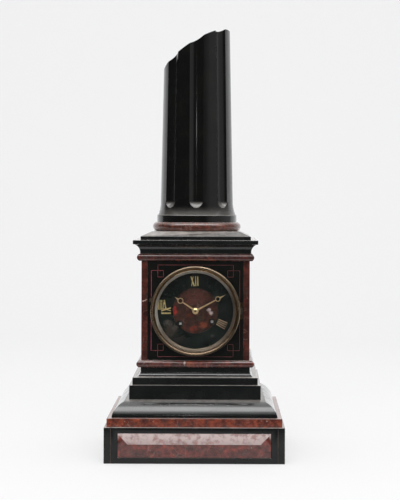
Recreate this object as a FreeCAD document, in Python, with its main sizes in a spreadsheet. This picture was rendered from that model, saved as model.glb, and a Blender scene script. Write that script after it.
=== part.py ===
import FreeCAD, Part
import math
import os
import Sketcher
from FreeCAD import Placement, Rotation, Vector

# A mantel clock of black slate and red marble. A stepped base carries a square case with a round
# dial, and the case carries a fluted column that is cut off at a slant. Millimetres, +Z up, the
# front faces -Y, and the origin is the middle of the underside.

doc = FreeCAD.newDocument("column_clock")
sheet = doc.addObject("Spreadsheet::Sheet", "sizes")


class Size:
    """A number together with the sheet formula that gives it."""

    def __init__(self, value, text):
        self.value = value
        self.text = text

    def __add__(self, other):
        other = as_size(other)
        return Size(self.value + other.value, f"({self.text} + {other.text})")

    def __sub__(self, other):
        other = as_size(other)
        return Size(self.value - other.value, f"({self.text} - {other.text})")

    def __mul__(self, other):
        other = as_size(other)
        return Size(self.value * other.value, f"({self.text} * {other.text})")

    def __truediv__(self, other):
        other = as_size(other)
        return Size(self.value / other.value, f"({self.text} / {other.text})")

    def __neg__(self):
        return Size(-self.value, f"(0 - {self.text})")

    def __radd__(self, other):
        return as_size(other) + self

    def __rsub__(self, other):
        return as_size(other) - self

    def __rmul__(self, other):
        return as_size(other) * self

    def root(self):
        return Size(math.sqrt(self.value), f"sqrt({self.text})")

    def cosine(self):
        return Size(math.cos(math.radians(self.value)), f"cos(1 deg * {self.text})")

    def sine(self):
        return Size(math.sin(math.radians(self.value)), f"sin(1 deg * {self.text})")


def as_size(number):
    return number if isinstance(number, Size) else Size(float(number), repr(float(number)))


cells = {}


def size(name, value):
    """Write one driving dimension in the sheet and return it."""
    cell = f"B{len(cells) + 1}"
    sheet.set(f"A{len(cells) + 1}", name)
    sheet.set(cell, str(value))
    sheet.setAlias(cell, name)
    cells[name] = value
    return Size(float(value), f"sizes.{name}")


# Clearances and the overrun of cuts
overrun = size("overrun", 2.0)
running = size("running_clearance", 0.05)
seat_gap = size("seat_clearance", 0.3)
loose = size("loose_clearance", 0.5)

# Depth of the whole clock: every course finishes flush with the back
half_depth = size("half_depth", 94.0)
slab = size("slab_thickness", 10.0)

# Base block
base_height = size("base_height", 46.4)
base_cheek = size("base_cheek_thickness", 8.9)
base_floor_height = size("base_floor_thickness", 8.0)
panel_side = size("panel_side_margin", 9.0)
panel_over = size("panel_top_margin", 7.5)
panel_low = size("panel_bottom_height", 8.0)
panel_hip = size("panel_hip_length", 13.25)
panel_ridge_flat = size("panel_ridge_flat", 0.8)
panel_rise = size("panel_ridge_rise", 5.0)
panel_lift = size("panel_ridge_lift", 2.1)
panel_sunk = size("panel_sunk_depth", 2.0)

# Stepped courses over the base: each set-back is measured from the face of the base block
band_inset = size("band_inset", 3.35)
band_height = size("band_height", 11.2)
cushion_inset = size("cushion_inset", 9.35)
cushion_height = size("cushion_height", 20.5)
cushion_upright = size("cushion_upright", 0.6)
cushion_heel_radius = size("cushion_heel_radius", 12.0)
cushion_heel_rise = size("cushion_heel_rise", 5.6)
plinth_inset = size("plinth_inset", 30.3)
plinth_height = size("plinth_height", 18.4)
neck_plinth_inset = size("neck_plinth_inset", 34.3)
neck_plinth_height = size("neck_plinth_height", 9.7)
cavetto_radius = size("cavetto_radius", 6.9)
neck_inset = size("neck_inset", 44.5)
neck_height = size("neck_height", 5.3)
lower_torus_inset = size("lower_torus_inset", 39.1)
lower_torus_height = size("lower_torus_height", 9.5)

# Square case
case_inset = size("case_inset", 45.05)
case_sill = size("case_sill_under_hole", 11.6)
case_lintel = size("case_lintel_over_hole", 11.6)
case_cheek = size("case_cheek_thickness", 8.3)
case_rim = size("case_rim_beside_hole", 9.4)
upper_torus_inset = size("upper_torus_inset", 39.3)
upper_torus_height = size("upper_torus_height", 9.8)
cornice_inset = size("cornice_inset", 34.2)
cornice_height = size("cornice_height", 17.9)
cornice_foot = size("cornice_foot_height", 2.0)
cornice_foot_inset = size("cornice_foot_inset", 9.0)
cornice_fillet = size("cornice_fillet_height", 5.3)
cornice_fillet_step = size("cornice_fillet_step", 1.0)
cap_inset = size("cap_inset", 43.7)
cap_upright = size("cap_upright", 4.8)
cap_height = size("cap_height", 11.2)
cap_slope = size("cap_slope_inset", 13.95)

# Pendulum well through the lower courses
well_half = size("well_half_width", 46.0)
well_front = size("well_front_distance", 16.0)
well_back = size("well_back_distance", 46.0)

# Column
torus_radius = size("column_torus_radius", 60.8)
torus_height = size("column_torus_height", 12.1)
ring_radius = size("column_ring_radius", 54.9)
ring_height = size("column_ring_height", 10.1)
ring_round = size("column_ring_rounding", 1.6)
shaft_foot_radius = size("shaft_foot_radius", 53.2)
shaft_radius = size("shaft_radius", 50.3)
shaft_taper = size("shaft_taper_share", 0.0199)
flare_height = size("flare_height", 15.8)
shaft_height = size("shaft_middle_height", 207.5)
flute_count = 8
flute_half = size("flute_half_width", 10.2)
flute_depth = size("flute_depth", 4.6)
flute_start = size("flute_start_height", 9.8)
slant_rise = size("slant_rise_share", 0.578)
slant_lean = size("slant_lean_share", 0.305)
rod_radius = size("tie_rod_radius", 3.0)
rod_reach = size("tie_rod_reach", 70.0)
nut_radius = size("tie_nut_radius", 6.0)
nut_height = size("tie_nut_height", 5.0)

# Dial and bezel, all about the dial's centre
dial_thick = size("dial_thickness", 3.0)
dial_set_back = size("dial_set_back", 1.3)
centre_radius = size("dial_centre_radius", 30.0)
centre_sunk = size("dial_centre_sunk", 0.4)
winding_hole = size("winding_hole_radius", 4.4)
centre_hole = size("dial_centre_hole_radius", 3.4)
case_hole = size("case_hole_radius", 54.0)
dial_gap = size("dial_edge_gap", 3.4)
dial_radius = case_hole - dial_gap
seat_tube = size("seat_tube_thickness", 1.5)
seat_flange = size("seat_flange_width", 4.4)
seat_flange_radius = case_hole + seat_flange
seat_flange_thick = size("seat_flange_thickness", 2.0)
seat_ledge_radius = size("seat_ledge_radius", 38.0)
seat_ledge_thick = size("seat_ledge_thickness", 1.5)
bezel_overlap = size("bezel_overlap", 0.8)
bezel_radius = seat_flange_radius + bezel_overlap
dial_covered = size("dial_edge_covered", 0.6)
bezel_sight = dial_radius - dial_covered
bezel_depth = size("bezel_depth", 9.5)
bezel_bead = size("bezel_bead_radius", 1.5)
bezel_groove_depth = size("bezel_groove_depth", 0.7)
lip_inset = size("bezel_lip_inset", 0.6)
bezel_lip = case_hole - lip_inset
bezel_rebate = size("bezel_rebate", 1.7)
bezel_edge = size("bezel_sight_edge", 0.6)
glass_thick = size("glass_thickness", 2.0)
glass_lift = size("glass_lift", 4.2)
glass_bevel = size("glass_bevel", 1.2)
glass_proud = size("glass_proud", 0.5)
hinge_radius = size("hinge_knuckle_radius", 1.3)
hinge_pin_radius = size("hinge_pin_radius", 0.8)
hinge_knuckle = size("hinge_knuckle_length", 7.0)
tab_reach = size("bezel_tab_reach", 1.6)
tab_length = size("bezel_tab_length", 5.6)
tab_rise = size("bezel_tab_rise", 14.0)
tab_width = size("bezel_tab_width", 5.0)
tab_thick = size("bezel_tab_thickness", 1.6)

# Numerals and hands
numeral_radius = size("numeral_radius", 39.0)
numeral_height = size("numeral_height", 13.0)
numeral_stroke = size("numeral_stroke", 1.9)
numeral_thin = size("numeral_thin_stroke", 0.9)
numeral_pitch = size("numeral_pitch", 3.2)
numeral_relief = size("numeral_relief", 0.4)
slipped_across = size("slipped_numeral_across", 44.6)
slipped_rise = size("slipped_numeral_rise", 7.6)
hand_thick = size("hand_thickness", 0.8)
boss_radius = size("hand_boss_radius", 4.4)
minute_short = size("minute_hand_short_of_edge", 4.0)
minute_length = bezel_sight - minute_short
minute_ring_reach = size("minute_ring_reach", 33.6)
minute_ring = size("minute_ring_radius", 3.6)
hour_length = size("hour_hand_length", 33.5)
hour_ring_reach = size("hour_ring_reach", 23.9)
hour_ring = size("hour_ring_radius", 4.0)
ring_width = size("hand_ring_width", 1.2)
hand_root = size("hand_root_width", 2.6)
hand_waist = size("hand_waist_width", 1.5)
collet_radius = size("collet_radius", 3.6)
collet_thick = size("collet_thickness", 1.2)
minute_angle = 61.7
hour_angle = 303.4

# Movement frame: the movement sits a little turned in the case
turn = size("movement_turn", 3.5)
plate_radius = size("plate_radius", 44.0)
plate_thick = size("plate_thickness", 2.0)
plate_set_back = size("front_plate_set_back", 6.0)
plate_gap = size("plate_gap", 30.0)
pillar_radius = size("pillar_radius", 2.2)
pillar_collar = size("pillar_collar_radius", 3.0)
pillar_collar_length = size("pillar_collar_length", 2.0)
post_radius = size("dial_post_radius", 1.6)
post_circle = size("dial_post_circle_radius", 41.0)
arbor_radius = size("arbor_radius", 0.8)
centre_arbor_radius = size("centre_arbor_radius", 1.2)
wheel_thick = size("wheel_thickness", 1.2)
pinion_length = size("pinion_length", 2.4)
strap_width = size("strap_width", 10.0)
strap_thick = size("strap_thickness", 1.5)
strap_place = size("strap_inner_distance", 49.0)

# Winding barrels
barrel_across = size("barrel_side_distance", 21.0)
barrel_drop = size("barrel_drop", 16.0)
barrel_module = size("barrel_module", 0.78)
barrel_drum = size("barrel_drum_radius", 17.2)
barrel_wall = size("barrel_wall", 1.5)
barrel_start = size("barrel_start_distance", 3.5)
barrel_length = size("barrel_length", 17.0)
barrel_flange = size("barrel_flange_thickness", 2.2)
barrel_arbor = size("barrel_arbor_radius", 2.4)
square_side = size("winding_square_side", 3.3)
square_set_back = size("winding_square_set_back", 0.6)
ratchet_radius = size("ratchet_radius", 6.5)
ratchet_thick = size("ratchet_thickness", 1.4)
click_length = size("click_length", 9.0)
click_width = size("click_width", 2.4)

# Trains: modules, and the direction of each step from arbor to arbor in degrees
second_module = size("second_wheel_module", 0.62)
centre_module = size("centre_wheel_module", 0.44)
third_module = size("third_wheel_module", 0.42)
strike_module = size("strike_wheel_module", 0.45)
fly_module = size("fly_module", 0.42)
cannon_module = size("cannon_module", 0.6)
second_bearing = size("second_bearing", 18.0)
third_bearing = size("third_bearing", 125.0)
motion_bearing = size("motion_bearing", -90.0)
strike_bearing = size("strike_bearing", 100.0)
strike_third_bearing = size("strike_third_bearing", 90.0)
fly_bearing = size("fly_bearing", 60.0)
escape_radius = size("escape_wheel_radius", 9.0)
barrel_teeth = 48
pinion_leaves = 8
second_teeth = 48
centre_teeth = 72
third_teeth = 60
light_leaves = 6
escape_teeth = 40
cannon_leaves = 8
motion_teeth = 24
hour_teeth = 32
strike_teeth = 48
strike_third_teeth = 36
ratchet_teeth = 16

# Planes of the wheels, measured back from the front plate's back face
centre_plane = size("centre_wheel_plane", 1.0)
third_plane = size("third_wheel_plane", 7.0)
strike_third_plane = size("strike_third_plane", 13.0)
escape_plane = size("escape_wheel_plane", 23.0)
second_plane = size("second_wheel_plane", 25.2)
cannon_plane = size("cannon_plane_gap", 0.8)
hour_plane = size("hour_plane_gap", 3.2)
fly_vane_start = size("fly_vane_start", 16.0)
fly_vane_length = size("fly_vane_length", 7.5)
fly_vane_half = size("fly_vane_half_width", 6.8)
fly_vane_thick = size("fly_vane_thickness", 0.6)
cannon_radius = size("cannon_tube_radius", 2.0)
hour_pipe_radius = size("hour_pipe_radius", 2.8)
hour_hand_gap = size("hour_hand_gap", 2.2)
minute_hand_gap = size("minute_hand_gap", 5.0)

# Escapement, pendulum, hammer and bell
anchor_rise = size("anchor_rise", 12.8)
anchor_arm = size("anchor_arm_width", 2.2)
anchor_span = size("anchor_half_span", 8.5)
anchor_drop = size("anchor_drop", 7.4)
crutch_length = size("crutch_length", 38.0)
crutch_width = size("crutch_width", 1.6)
crutch_gap = size("crutch_fork_gap", 0.4)
pendulum_plane = size("pendulum_plane", 11.0)
pendulum_length = size("pendulum_length", 140.0)
pendulum_rod = size("pendulum_rod_radius", 1.0)
spring_width = size("suspension_spring_width", 5.0)
spring_thick = size("suspension_spring_thickness", 0.5)
spring_length = size("suspension_spring_length", 8.0)
bob_radius = size("bob_radius", 17.0)
bob_thick = size("bob_thickness", 9.0)
bob_edge = size("bob_edge_thickness", 2.0)
nut_size = size("rating_nut_radius", 3.5)
nut_length = size("rating_nut_height", 3.0)
cock_half = size("cock_half_width", 6.0)
cock_height = size("cock_height", 5.0)
cock_depth = size("cock_depth", 14.0)
bell_radius = size("bell_radius", 33.0)
bell_depth = size("bell_depth", 24.0)
bell_wall = size("bell_wall", 1.5)
bell_drop = size("bell_drop", 4.0)
bell_plane = size("bell_mouth_plane", 18.0)
bell_bolt = size("bell_bolt_radius", 1.5)
stand_across = size("bell_stand_across", 14.0)
stand_drop = size("bell_stand_drop", 20.0)
stand_radius = size("bell_stand_radius", 2.2)
stand_arm = size("bell_stand_arm_thickness", 3.0)
hammer_across = size("hammer_across", 35.5)
hammer_rise = size("hammer_rise", 12.5)
hammer_radius = size("hammer_head_radius", 3.2)
hammer_head = size("hammer_head_length", 8.0)
hammer_drop = size("hammer_drop", 16.0)
hammer_plane = size("hammer_plane", 28.0)
hammer_arm = size("hammer_arm_width", 2.0)
hammer_arbor_radius = size("hammer_arbor_radius", 1.2)

# Back opening and its door
back_hole = case_hole
back_ring_width = size("back_ring_flange_width", 6.0)
back_ring_radius = back_hole + back_ring_width
back_ring_flange = size("back_ring_flange", 1.6)
back_ring_tube = size("back_ring_tube_depth", 9.0)
back_ring_ledge = size("back_ring_ledge", 5.5)
back_door_gap = size("back_door_edge_gap", 2.4)
back_door_radius = back_hole - back_door_gap
back_door_thick = size("back_door_thickness", 1.2)
back_door_rim = size("back_door_rim_depth", 5.0)
back_door_knob = size("back_door_knob_radius", 2.5)

# Heights and faces that follow from the sizes above
base_front = -half_depth
band_bottom = base_height
cushion_bottom = band_bottom + band_height
plinth_bottom = cushion_bottom + cushion_height
neck_plinth_bottom = plinth_bottom + plinth_height
cavetto_bottom = neck_plinth_bottom + neck_plinth_height
neck_bottom = cavetto_bottom + cavetto_radius
lower_torus_bottom = neck_bottom + neck_height
case_bottom = lower_torus_bottom + lower_torus_height
case_top = case_bottom + case_sill + 2 * case_hole + case_lintel
cornice_bottom = case_top + upper_torus_height
cap_bottom = cornice_bottom + cornice_height
column_bottom = cap_bottom + cap_height
ring_bottom = column_bottom + torus_height
flare_bottom = ring_bottom + ring_height
shaft_bottom = flare_bottom + flare_height
case_half = case_hole + case_rim + case_cheek
base_half = case_half + case_inset
case_face = base_front + case_inset
column_y = (case_face + half_depth) / 2
dial_height = case_bottom + case_sill + case_hole
dial_face = case_face + dial_set_back
dial_back = dial_face + dial_thick
seat_front = case_face - seat_flange_thick
ledge_back = dial_back + seat_ledge_thick
front_plate_face = ledge_back + plate_set_back
train_front = front_plate_face + plate_thick
train_back = train_front + plate_gap
back_plate_back = train_back + plate_thick


# Building blocks


def bind(thing, **values):
    """Give an object's properties their sizes, as formulas of the sheet."""
    for name, value in values.items():
        value = as_size(value)
        setattr(thing, name, value.value)
        if "sizes." in value.text:
            thing.setExpression(name, value.text)
    return thing


def place(thing, x=0, y=0, z=0, rotation=None):
    """Put an object at a point that follows the sheet."""
    spots = {"x": as_size(x), "y": as_size(y), "z": as_size(z)}
    base = Vector(spots["x"].value, spots["y"].value, spots["z"].value)
    thing.Placement = Placement(base, rotation or Rotation())
    for letter, spot in spots.items():
        if "sizes." in spot.text:
            thing.setExpression(f".Placement.Base.{letter}", spot.text)
    return thing


def block(x, y, z, name="block"):
    """A box between pairs of faces."""
    box = doc.addObject("Part::Box", name)
    bind(box, Length=x[1] - x[0], Width=y[1] - y[0], Height=z[1] - z[0])
    return place(box, x[0], y[0], z[0])


along_y = Rotation(Vector(1, 0, 0), -90)
along_x = Rotation(Vector(0, 1, 0), 90)


def rod(radius, centre, start, end, name="rod"):
    """A cylinder along Y about a point (x, z)."""
    cylinder = doc.addObject("Part::Cylinder", name)
    bind(cylinder, Radius=radius, Height=end - start)
    return place(cylinder, centre[0], start, centre[1], along_y)


def post(radius, centre, start, end, name="post"):
    """A cylinder along Z about a point (x, y)."""
    cylinder = doc.addObject("Part::Cylinder", name)
    bind(cylinder, Radius=radius, Height=end - start)
    return place(cylinder, centre[0], centre[1], start)


def fuse(*shapes):
    union = doc.addObject("Part::MultiFuse", "union")
    union.Shapes = list(shapes)
    return union


def cut(base, *tools):
    result = doc.addObject("Part::Cut", "cut")
    result.Base = base
    result.Tool = tools[0] if len(tools) == 1 else fuse(*tools)
    return result


def group(*shapes):
    """Separate solids that share one node."""
    compound = doc.addObject("Part::Compound", "group")
    compound.Links = list(shapes)
    return compound


nodes = {}


def keep(node, thing):
    """Name a finished sub-part."""
    thing.Label = node
    nodes[node] = thing
    return thing


class Spot:
    """A corner of an outline; centre and turn describe the arc that arrives at it."""

    def __init__(self, u, v, centre=None, turn=1):
        self.u = as_size(u)
        self.v = as_size(v)
        self.centre = centre and (as_size(centre[0]), as_size(centre[1]))
        self.turn = turn

    def vector(self):
        return Vector(self.u.value, self.v.value, 0)


def fix(sketch, piece, end, u, v):
    """Hold a point of a sketch at coordinates that follow the sheet."""
    for letter, value in (("X", u), ("Y", v)):
        if value is None:
            continue
        if value.value == 0 and "sizes." not in value.text:
            axis = -2 if letter == "X" else -1
            sketch.addConstraint(Sketcher.Constraint("PointOnObject", piece, end, axis))
            continue
        rule = Sketcher.Constraint(f"Distance{letter}", -1, 1, piece, end, value.value)
        index = sketch.addConstraint(rule)
        sketch.setExpression(f"Constraints[{index}]", value.text)


def draw(sketch, spots):
    """Close an outline of straight and round stretches through the spots."""
    ends = []
    for i, spot in enumerate(spots):
        a = spots[i - 1].vector()
        b = spot.vector()
        if spot.centre is None:
            piece = sketch.addGeometry(Part.LineSegment(a, b), False)
            ends.append((piece, 1, 2))
            continue
        c = Vector(spot.centre[0].value, spot.centre[1].value, 0)
        first, last = (a - c, b - c) if spot.turn > 0 else (b - c, a - c)
        low = math.atan2(first.y, first.x)
        high = math.atan2(last.y, last.x)
        high += 2 * math.pi if high <= low else 0
        circle = Part.Circle(c, Vector(0, 0, 1), (a - c).Length)
        piece = sketch.addGeometry(Part.ArcOfCircle(circle, low, high), False)
        ends.append((piece, 1, 2) if spot.turn > 0 else (piece, 2, 1))
    for i, (piece, start, end) in enumerate(ends):
        follower = ends[(i + 1) % len(ends)]
        joint = Sketcher.Constraint("Coincident", piece, end, follower[0], follower[1])
        sketch.addConstraint(joint)
        fix(sketch, piece, end, spots[i].u, spots[i].v)
        if spots[i].centre is not None:
            chord = spots[i].vector() - spots[i - 1].vector()
            level = abs(chord.x) >= abs(chord.y)
            centre_u, centre_v = spots[i].centre
            fix(sketch, piece, 3, None if level else centre_u, centre_v if level else None)
    return sketch


facing_front = Rotation(Vector(1, 0, 0), 90)
facing_side = Rotation(Vector(1, 1, 1), 120)


def free_sketch(spots, rotation):
    sketch = doc.addObject("Sketcher::SketchObject", "outline")
    sketch.Placement = Placement(Vector(), rotation)
    return draw(sketch, spots)


def extrude(sketch, forward, backward):
    """Extrude an outline along its normal, both ways from its plane."""
    solid = doc.addObject("Part::Extrusion", "extrusion")
    solid.Base = sketch
    solid.DirMode = "Normal"
    solid.Solid = True
    return bind(solid, LengthFwd=forward, LengthRev=backward)


def plate_from(spots, start, end):
    """A flat piece with its outline in X and Z, between two planes along Y."""
    return extrude(free_sketch(spots, facing_front), -start, end)


def turned(spots, x=0, y=0, z=0, upright=False, name="turned"):
    """A turned piece: about Y from (y, radius), or about Z from (radius, z)."""
    body = doc.addObject("PartDesign::Body", name)
    sketch = body.newObject("Sketcher::SketchObject", name + "_outline")
    role = "XZ_Plane" if upright else "YZ_Plane"
    plane = [f for f in body.Origin.OriginFeatures if f.Role == role][0]
    sketch.AttachmentSupport = [(plane, "")]
    sketch.MapMode = "FlatFace"
    draw(sketch, spots)
    revolution = body.newObject("PartDesign::Revolution", name + "_turning")
    revolution.Profile = sketch
    revolution.ReferenceAxis = (sketch, ["V_Axis" if upright else "H_Axis"])
    revolution.Angle = 360
    return place(body, x, y, z)


# Stone courses


def rising(edge, profile):
    """The right-hand side of a course, upwards; a profile holds (inset, height) and arcs."""
    side = []
    for inset, height, *arc in profile:
        centre = (edge - arc[0], arc[1]) if arc else None
        side.append(Spot(edge - inset, height, centre, arc[2] if arc else 1))
    return side


def falling(edge, profile):
    """The left-hand or front side of a course, downwards."""
    side = []
    for i in range(len(profile) - 1, -1, -1):
        inset, height = profile[i][:2]
        arc = profile[i + 1][2:] if i + 1 < len(profile) else ()
        centre = (edge + arc[0], arc[1]) if arc else None
        side.append(Spot(edge + inset, height, centre, arc[2] if arc else 1))
    return side


def course(inset, profile, well=False):
    """A slab with one moulding along its front and sides, mitred at the corners."""
    half = base_half - inset
    face = base_front + inset
    across = rising(half, profile) + falling(-half, profile)
    along_sides = extrude(free_sketch(across, facing_front), -face, half_depth)
    bottom, top = profile[0][1], profile[-1][1]
    ends = [Spot(half_depth, bottom), Spot(half_depth, top)]
    deep = ends + falling(face, profile)
    along_front = extrude(free_sketch(deep, facing_side), half, half)
    slab_shape = doc.addObject("Part::MultiCommon", "course")
    slab_shape.Shapes = [along_sides, along_front]
    if not well:
        return slab_shape
    return cut(slab_shape, well_block(bottom, top))


def well_block(bottom, top):
    width = (-well_half, well_half)
    depth = (-well_front, well_back)
    return block(width, depth, (bottom - overrun, top + overrun), "well")


def upright(bottom, top):
    zero = as_size(0)
    return [(zero, bottom), (zero, top)]


def half_round(bottom, top):
    """A torus moulding: a half circle as high as the course."""
    radius = (top - bottom) / 2
    return [(radius, bottom), (radius, top, radius, bottom + radius, 1)]


cheek_face = base_half - base_cheek
inner_front = base_front + slab
inner_back = half_depth - slab


def make_base():
    panel_y = base_front + panel_sunk
    panel_x = cheek_face - panel_side
    panel_top = base_height - panel_over
    front = block((-cheek_face, cheek_face), (base_front, inner_front), (0, base_height))
    recess_x = panel_x + seat_gap
    recess_z = (panel_low - seat_gap, panel_top + seat_gap)
    recess = block((-recess_x, recess_x), (base_front - overrun, panel_y), recess_z, "recess")
    keep("base_front_slab", cut(front, recess))
    left = block((-base_half, -cheek_face), (base_front, half_depth), (0, base_height))
    right = block((cheek_face, base_half), (base_front, half_depth), (0, base_height))
    keep("base_cheeks", group(left, right))
    back = block((-cheek_face, cheek_face), (inner_back, half_depth), (0, base_height))
    keep("base_back_slab", back)
    floor_depth = (inner_front, inner_back)
    floor = block((-cheek_face, cheek_face), floor_depth, (0, base_floor_height))
    keep("base_floor", floor)
    # The panel is a low hipped prism with its ridge level
    edge = block((-panel_x, panel_x), (base_front, panel_y), (panel_low, panel_top))
    hip = doc.addObject("Part::Wedge", "hip")
    middle = (panel_low + panel_top) / 2 + panel_lift
    ridge_x = panel_x - panel_hip
    bind(hip, Xmin=-panel_x, Xmax=panel_x, Zmin=panel_low, Zmax=panel_top)
    bind(hip, Ymin=half_depth, Ymax=half_depth + panel_rise)
    bind(hip, X2min=-ridge_x, X2max=ridge_x)
    bind(hip, Z2min=middle - panel_ridge_flat / 2, Z2max=middle + panel_ridge_flat / 2)
    hip.Placement = Placement(Vector(), Rotation(Vector(0, 0, 1), 180))
    keep("base_panel", fuse(edge, hip))


def make_courses():
    keep("red_band", course(band_inset, upright(band_bottom, cushion_bottom)))
    # A small round heel runs on smoothly into the wide one that ends at the plinth's face
    heel_bottom = cushion_bottom + cushion_upright
    lean = cushion_heel_rise / cushion_heel_radius
    upness = (1 - lean * lean).root()
    shoulder_inset = cushion_heel_radius * (1 - upness)
    shoulder = heel_bottom + cushion_heel_rise
    whole_run = plinth_inset - cushion_inset
    run = whole_run - shoulder_inset
    rise = plinth_bottom - shoulder
    round_radius = (run * run + rise * rise) / (2 * (run * upness - rise * lean))
    centre_inset = shoulder_inset + round_radius * upness
    centre_height = shoulder - round_radius * lean
    zero = as_size(0)
    cushion = [(zero, cushion_bottom), (zero, heel_bottom)]
    cushion.append((shoulder_inset, shoulder, cushion_heel_radius, heel_bottom, 1))
    cushion.append((whole_run, plinth_bottom, centre_inset, centre_height, 1))
    keep("cushion_moulding", course(cushion_inset, cushion, well=True))
    plinth = upright(plinth_bottom, neck_plinth_bottom)
    keep("plinth", course(plinth_inset, plinth, well=True))
    neck_step = neck_inset - neck_plinth_inset
    neck = [(zero, neck_plinth_bottom), (zero, cavetto_bottom)]
    ledge = neck_step - cavetto_radius
    neck.append((ledge, cavetto_bottom))
    neck.append((neck_step, neck_bottom, ledge, neck_bottom, -1))
    neck.append((neck_step, lower_torus_bottom))
    keep("neck_moulding", course(neck_plinth_inset, neck, well=True))
    lower = half_round(lower_torus_bottom, case_bottom)
    keep("lower_torus", course(lower_torus_inset, lower, well=True))


def make_case():
    inner = case_half - case_cheek
    high = (case_bottom, case_top)
    left = block((-case_half, -inner), (case_face, half_depth), high)
    right = block((inner, case_half), (case_face, half_depth), high)
    keep("case_cheeks", group(left, right))
    front_depth = (case_face, case_face + slab)
    front = block((-inner, inner), front_depth, high)
    dial_centre = (as_size(0), dial_height)
    front_hole = rod(case_hole, dial_centre, front_depth[0] - overrun, front_depth[1] + overrun)
    keep("case_front", cut(front, front_hole))
    back = block((-inner, inner), (inner_back, half_depth), high)
    hole = rod(back_hole, dial_centre, inner_back - overrun, half_depth + overrun)
    keep("case_back", cut(back, hole))


def bore(bottom, top):
    centre = (as_size(0), column_y)
    return post(rod_radius + seat_gap, centre, bottom - overrun, top + overrun, "bore")


def make_top():
    upper = course(upper_torus_inset, half_round(case_top, cornice_bottom))
    keep("upper_torus", cut(upper, bore(case_top, cornice_bottom)))
    zero = as_size(0)
    foot = cornice_bottom + cornice_foot
    shelf = cap_bottom - cornice_fillet
    throw = cornice_foot_inset - cornice_fillet_step
    climb = shelf - foot
    sweep = (throw * throw + climb * climb) / (2 * throw)
    profile = [(cornice_foot_inset, cornice_bottom), (cornice_foot_inset, foot)]
    arc_centre = cornice_foot_inset - sweep
    profile.append((cornice_fillet_step, shelf, arc_centre, foot, -1))
    profile.append((zero, shelf))
    profile.append((zero, cap_bottom))
    cornice = course(cornice_inset, profile)
    keep("cornice", cut(cornice, bore(cornice_bottom, cap_bottom)))
    edge = cap_bottom + cap_upright
    cap = course(cap_inset, [(zero, cap_bottom), (zero, edge), (cap_slope, column_bottom)])
    keep("cornice_cap", cut(cap, bore(cap_bottom, column_bottom)))


def make_column():
    core = torus_radius - torus_height / 2
    hole = rod_radius + seat_gap
    middle = column_bottom + torus_height / 2
    cushion = [Spot(hole, column_bottom), Spot(core, column_bottom)]
    cushion.append(Spot(core, ring_bottom, (core, middle)))
    cushion.append(Spot(hole, ring_bottom))
    keep("column_torus", turned(cushion, y=column_y, upright=True, name="column_torus"))
    # The shaft stands on a plain ring, with a hollow flare between them
    step = shaft_foot_radius - shaft_radius
    sweep = (step * step + flare_height * flare_height) / (2 * step)
    blank = shaft_height + shaft_radius
    top = shaft_bottom + blank
    top_radius = shaft_radius - blank * shaft_taper
    axis = as_size(0)
    outline = [Spot(axis, ring_bottom), Spot(ring_radius, ring_bottom)]
    outline.append(Spot(ring_radius, flare_bottom - ring_round))
    round_centre = (ring_radius - ring_round, flare_bottom - ring_round)
    outline.append(Spot(ring_radius - ring_round, flare_bottom, round_centre))
    outline.append(Spot(shaft_foot_radius, flare_bottom))
    flare_centre = (shaft_radius + sweep, shaft_bottom)
    outline.append(Spot(shaft_radius, shaft_bottom, flare_centre, -1))
    outline.append(Spot(top_radius, top))
    outline.append(Spot(axis, top))
    shaft = turned(outline, y=column_y, upright=True, name="column_shaft")
    tools = [flute(i * 360 / flute_count) for i in range(flute_count)]
    tools.append(slant())
    socket = post(hole, (as_size(0), column_y), ring_bottom - overrun, ring_bottom + rod_reach)
    tools.append(socket)
    keep("column_shaft", cut(shaft, *tools))


def flute(angle):
    """The cutter of one flute, as deep and as wide as its sizes, leaning with the taper."""
    radius = (flute_half * flute_half + flute_depth * flute_depth) / (2 * flute_depth)
    out = shaft_radius + radius - flute_depth
    start = flare_bottom + flute_start + flute_half
    lean = Rotation(Vector(0, 1, 0), -math.degrees(math.atan(shaft_taper.value)))
    heading = Rotation(Vector(0, 0, 1), angle - 90)
    x = out * math.cos(math.radians(angle - 90))
    y = column_y + out * math.sin(math.radians(angle - 90))
    channel = doc.addObject("Part::Cylinder", "flute")
    reach = shaft_height + shaft_radius + flare_height
    bind(channel, Radius=radius, Height=reach)
    place(channel, x, y, start, heading.multiply(lean))
    scoop = doc.addObject("Part::Sphere", "scoop")
    bind(scoop, Radius=radius)
    place(scoop, x, y, start)
    return fuse(channel, scoop)


def slant():
    """What the slanting cut takes away: everything over a leaning plane."""
    normal = Vector(-slant_rise.value, slant_lean.value, 1)
    over = doc.addObject("Part::Cylinder", "slant")
    bind(over, Radius=3 * shaft_radius, Height=shaft_height)
    middle = shaft_bottom + shaft_height
    return place(over, 0, column_y, middle, Rotation(Vector(0, 0, 1), normal))


def make_tie_rod():
    axis = (as_size(0), column_y)
    shank = post(rod_radius, axis, case_top - 2 * nut_height, ring_bottom + rod_reach - loose)
    nut = post(nut_radius, axis, case_top - nut_height, case_top)
    bore_radius = rod_radius + running
    through = post(bore_radius, axis, case_top - 2 * nut_height, case_top + overrun)
    keep("tie_rod", group(shank, cut(nut, through)))


# Dial, bezel and back opening


def at(u, v):
    """A point of the turned movement as (x, z)."""
    x = u * turn.cosine() - v * turn.sine()
    return x, dial_height + u * turn.sine() + v * turn.cosine()


def step_from(spot, distance, bearing):
    return spot[0] + distance * bearing.cosine(), spot[1] + distance * bearing.sine()


def spacing(module, teeth, leaves):
    return module * ((teeth + leaves) / 2)


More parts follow.
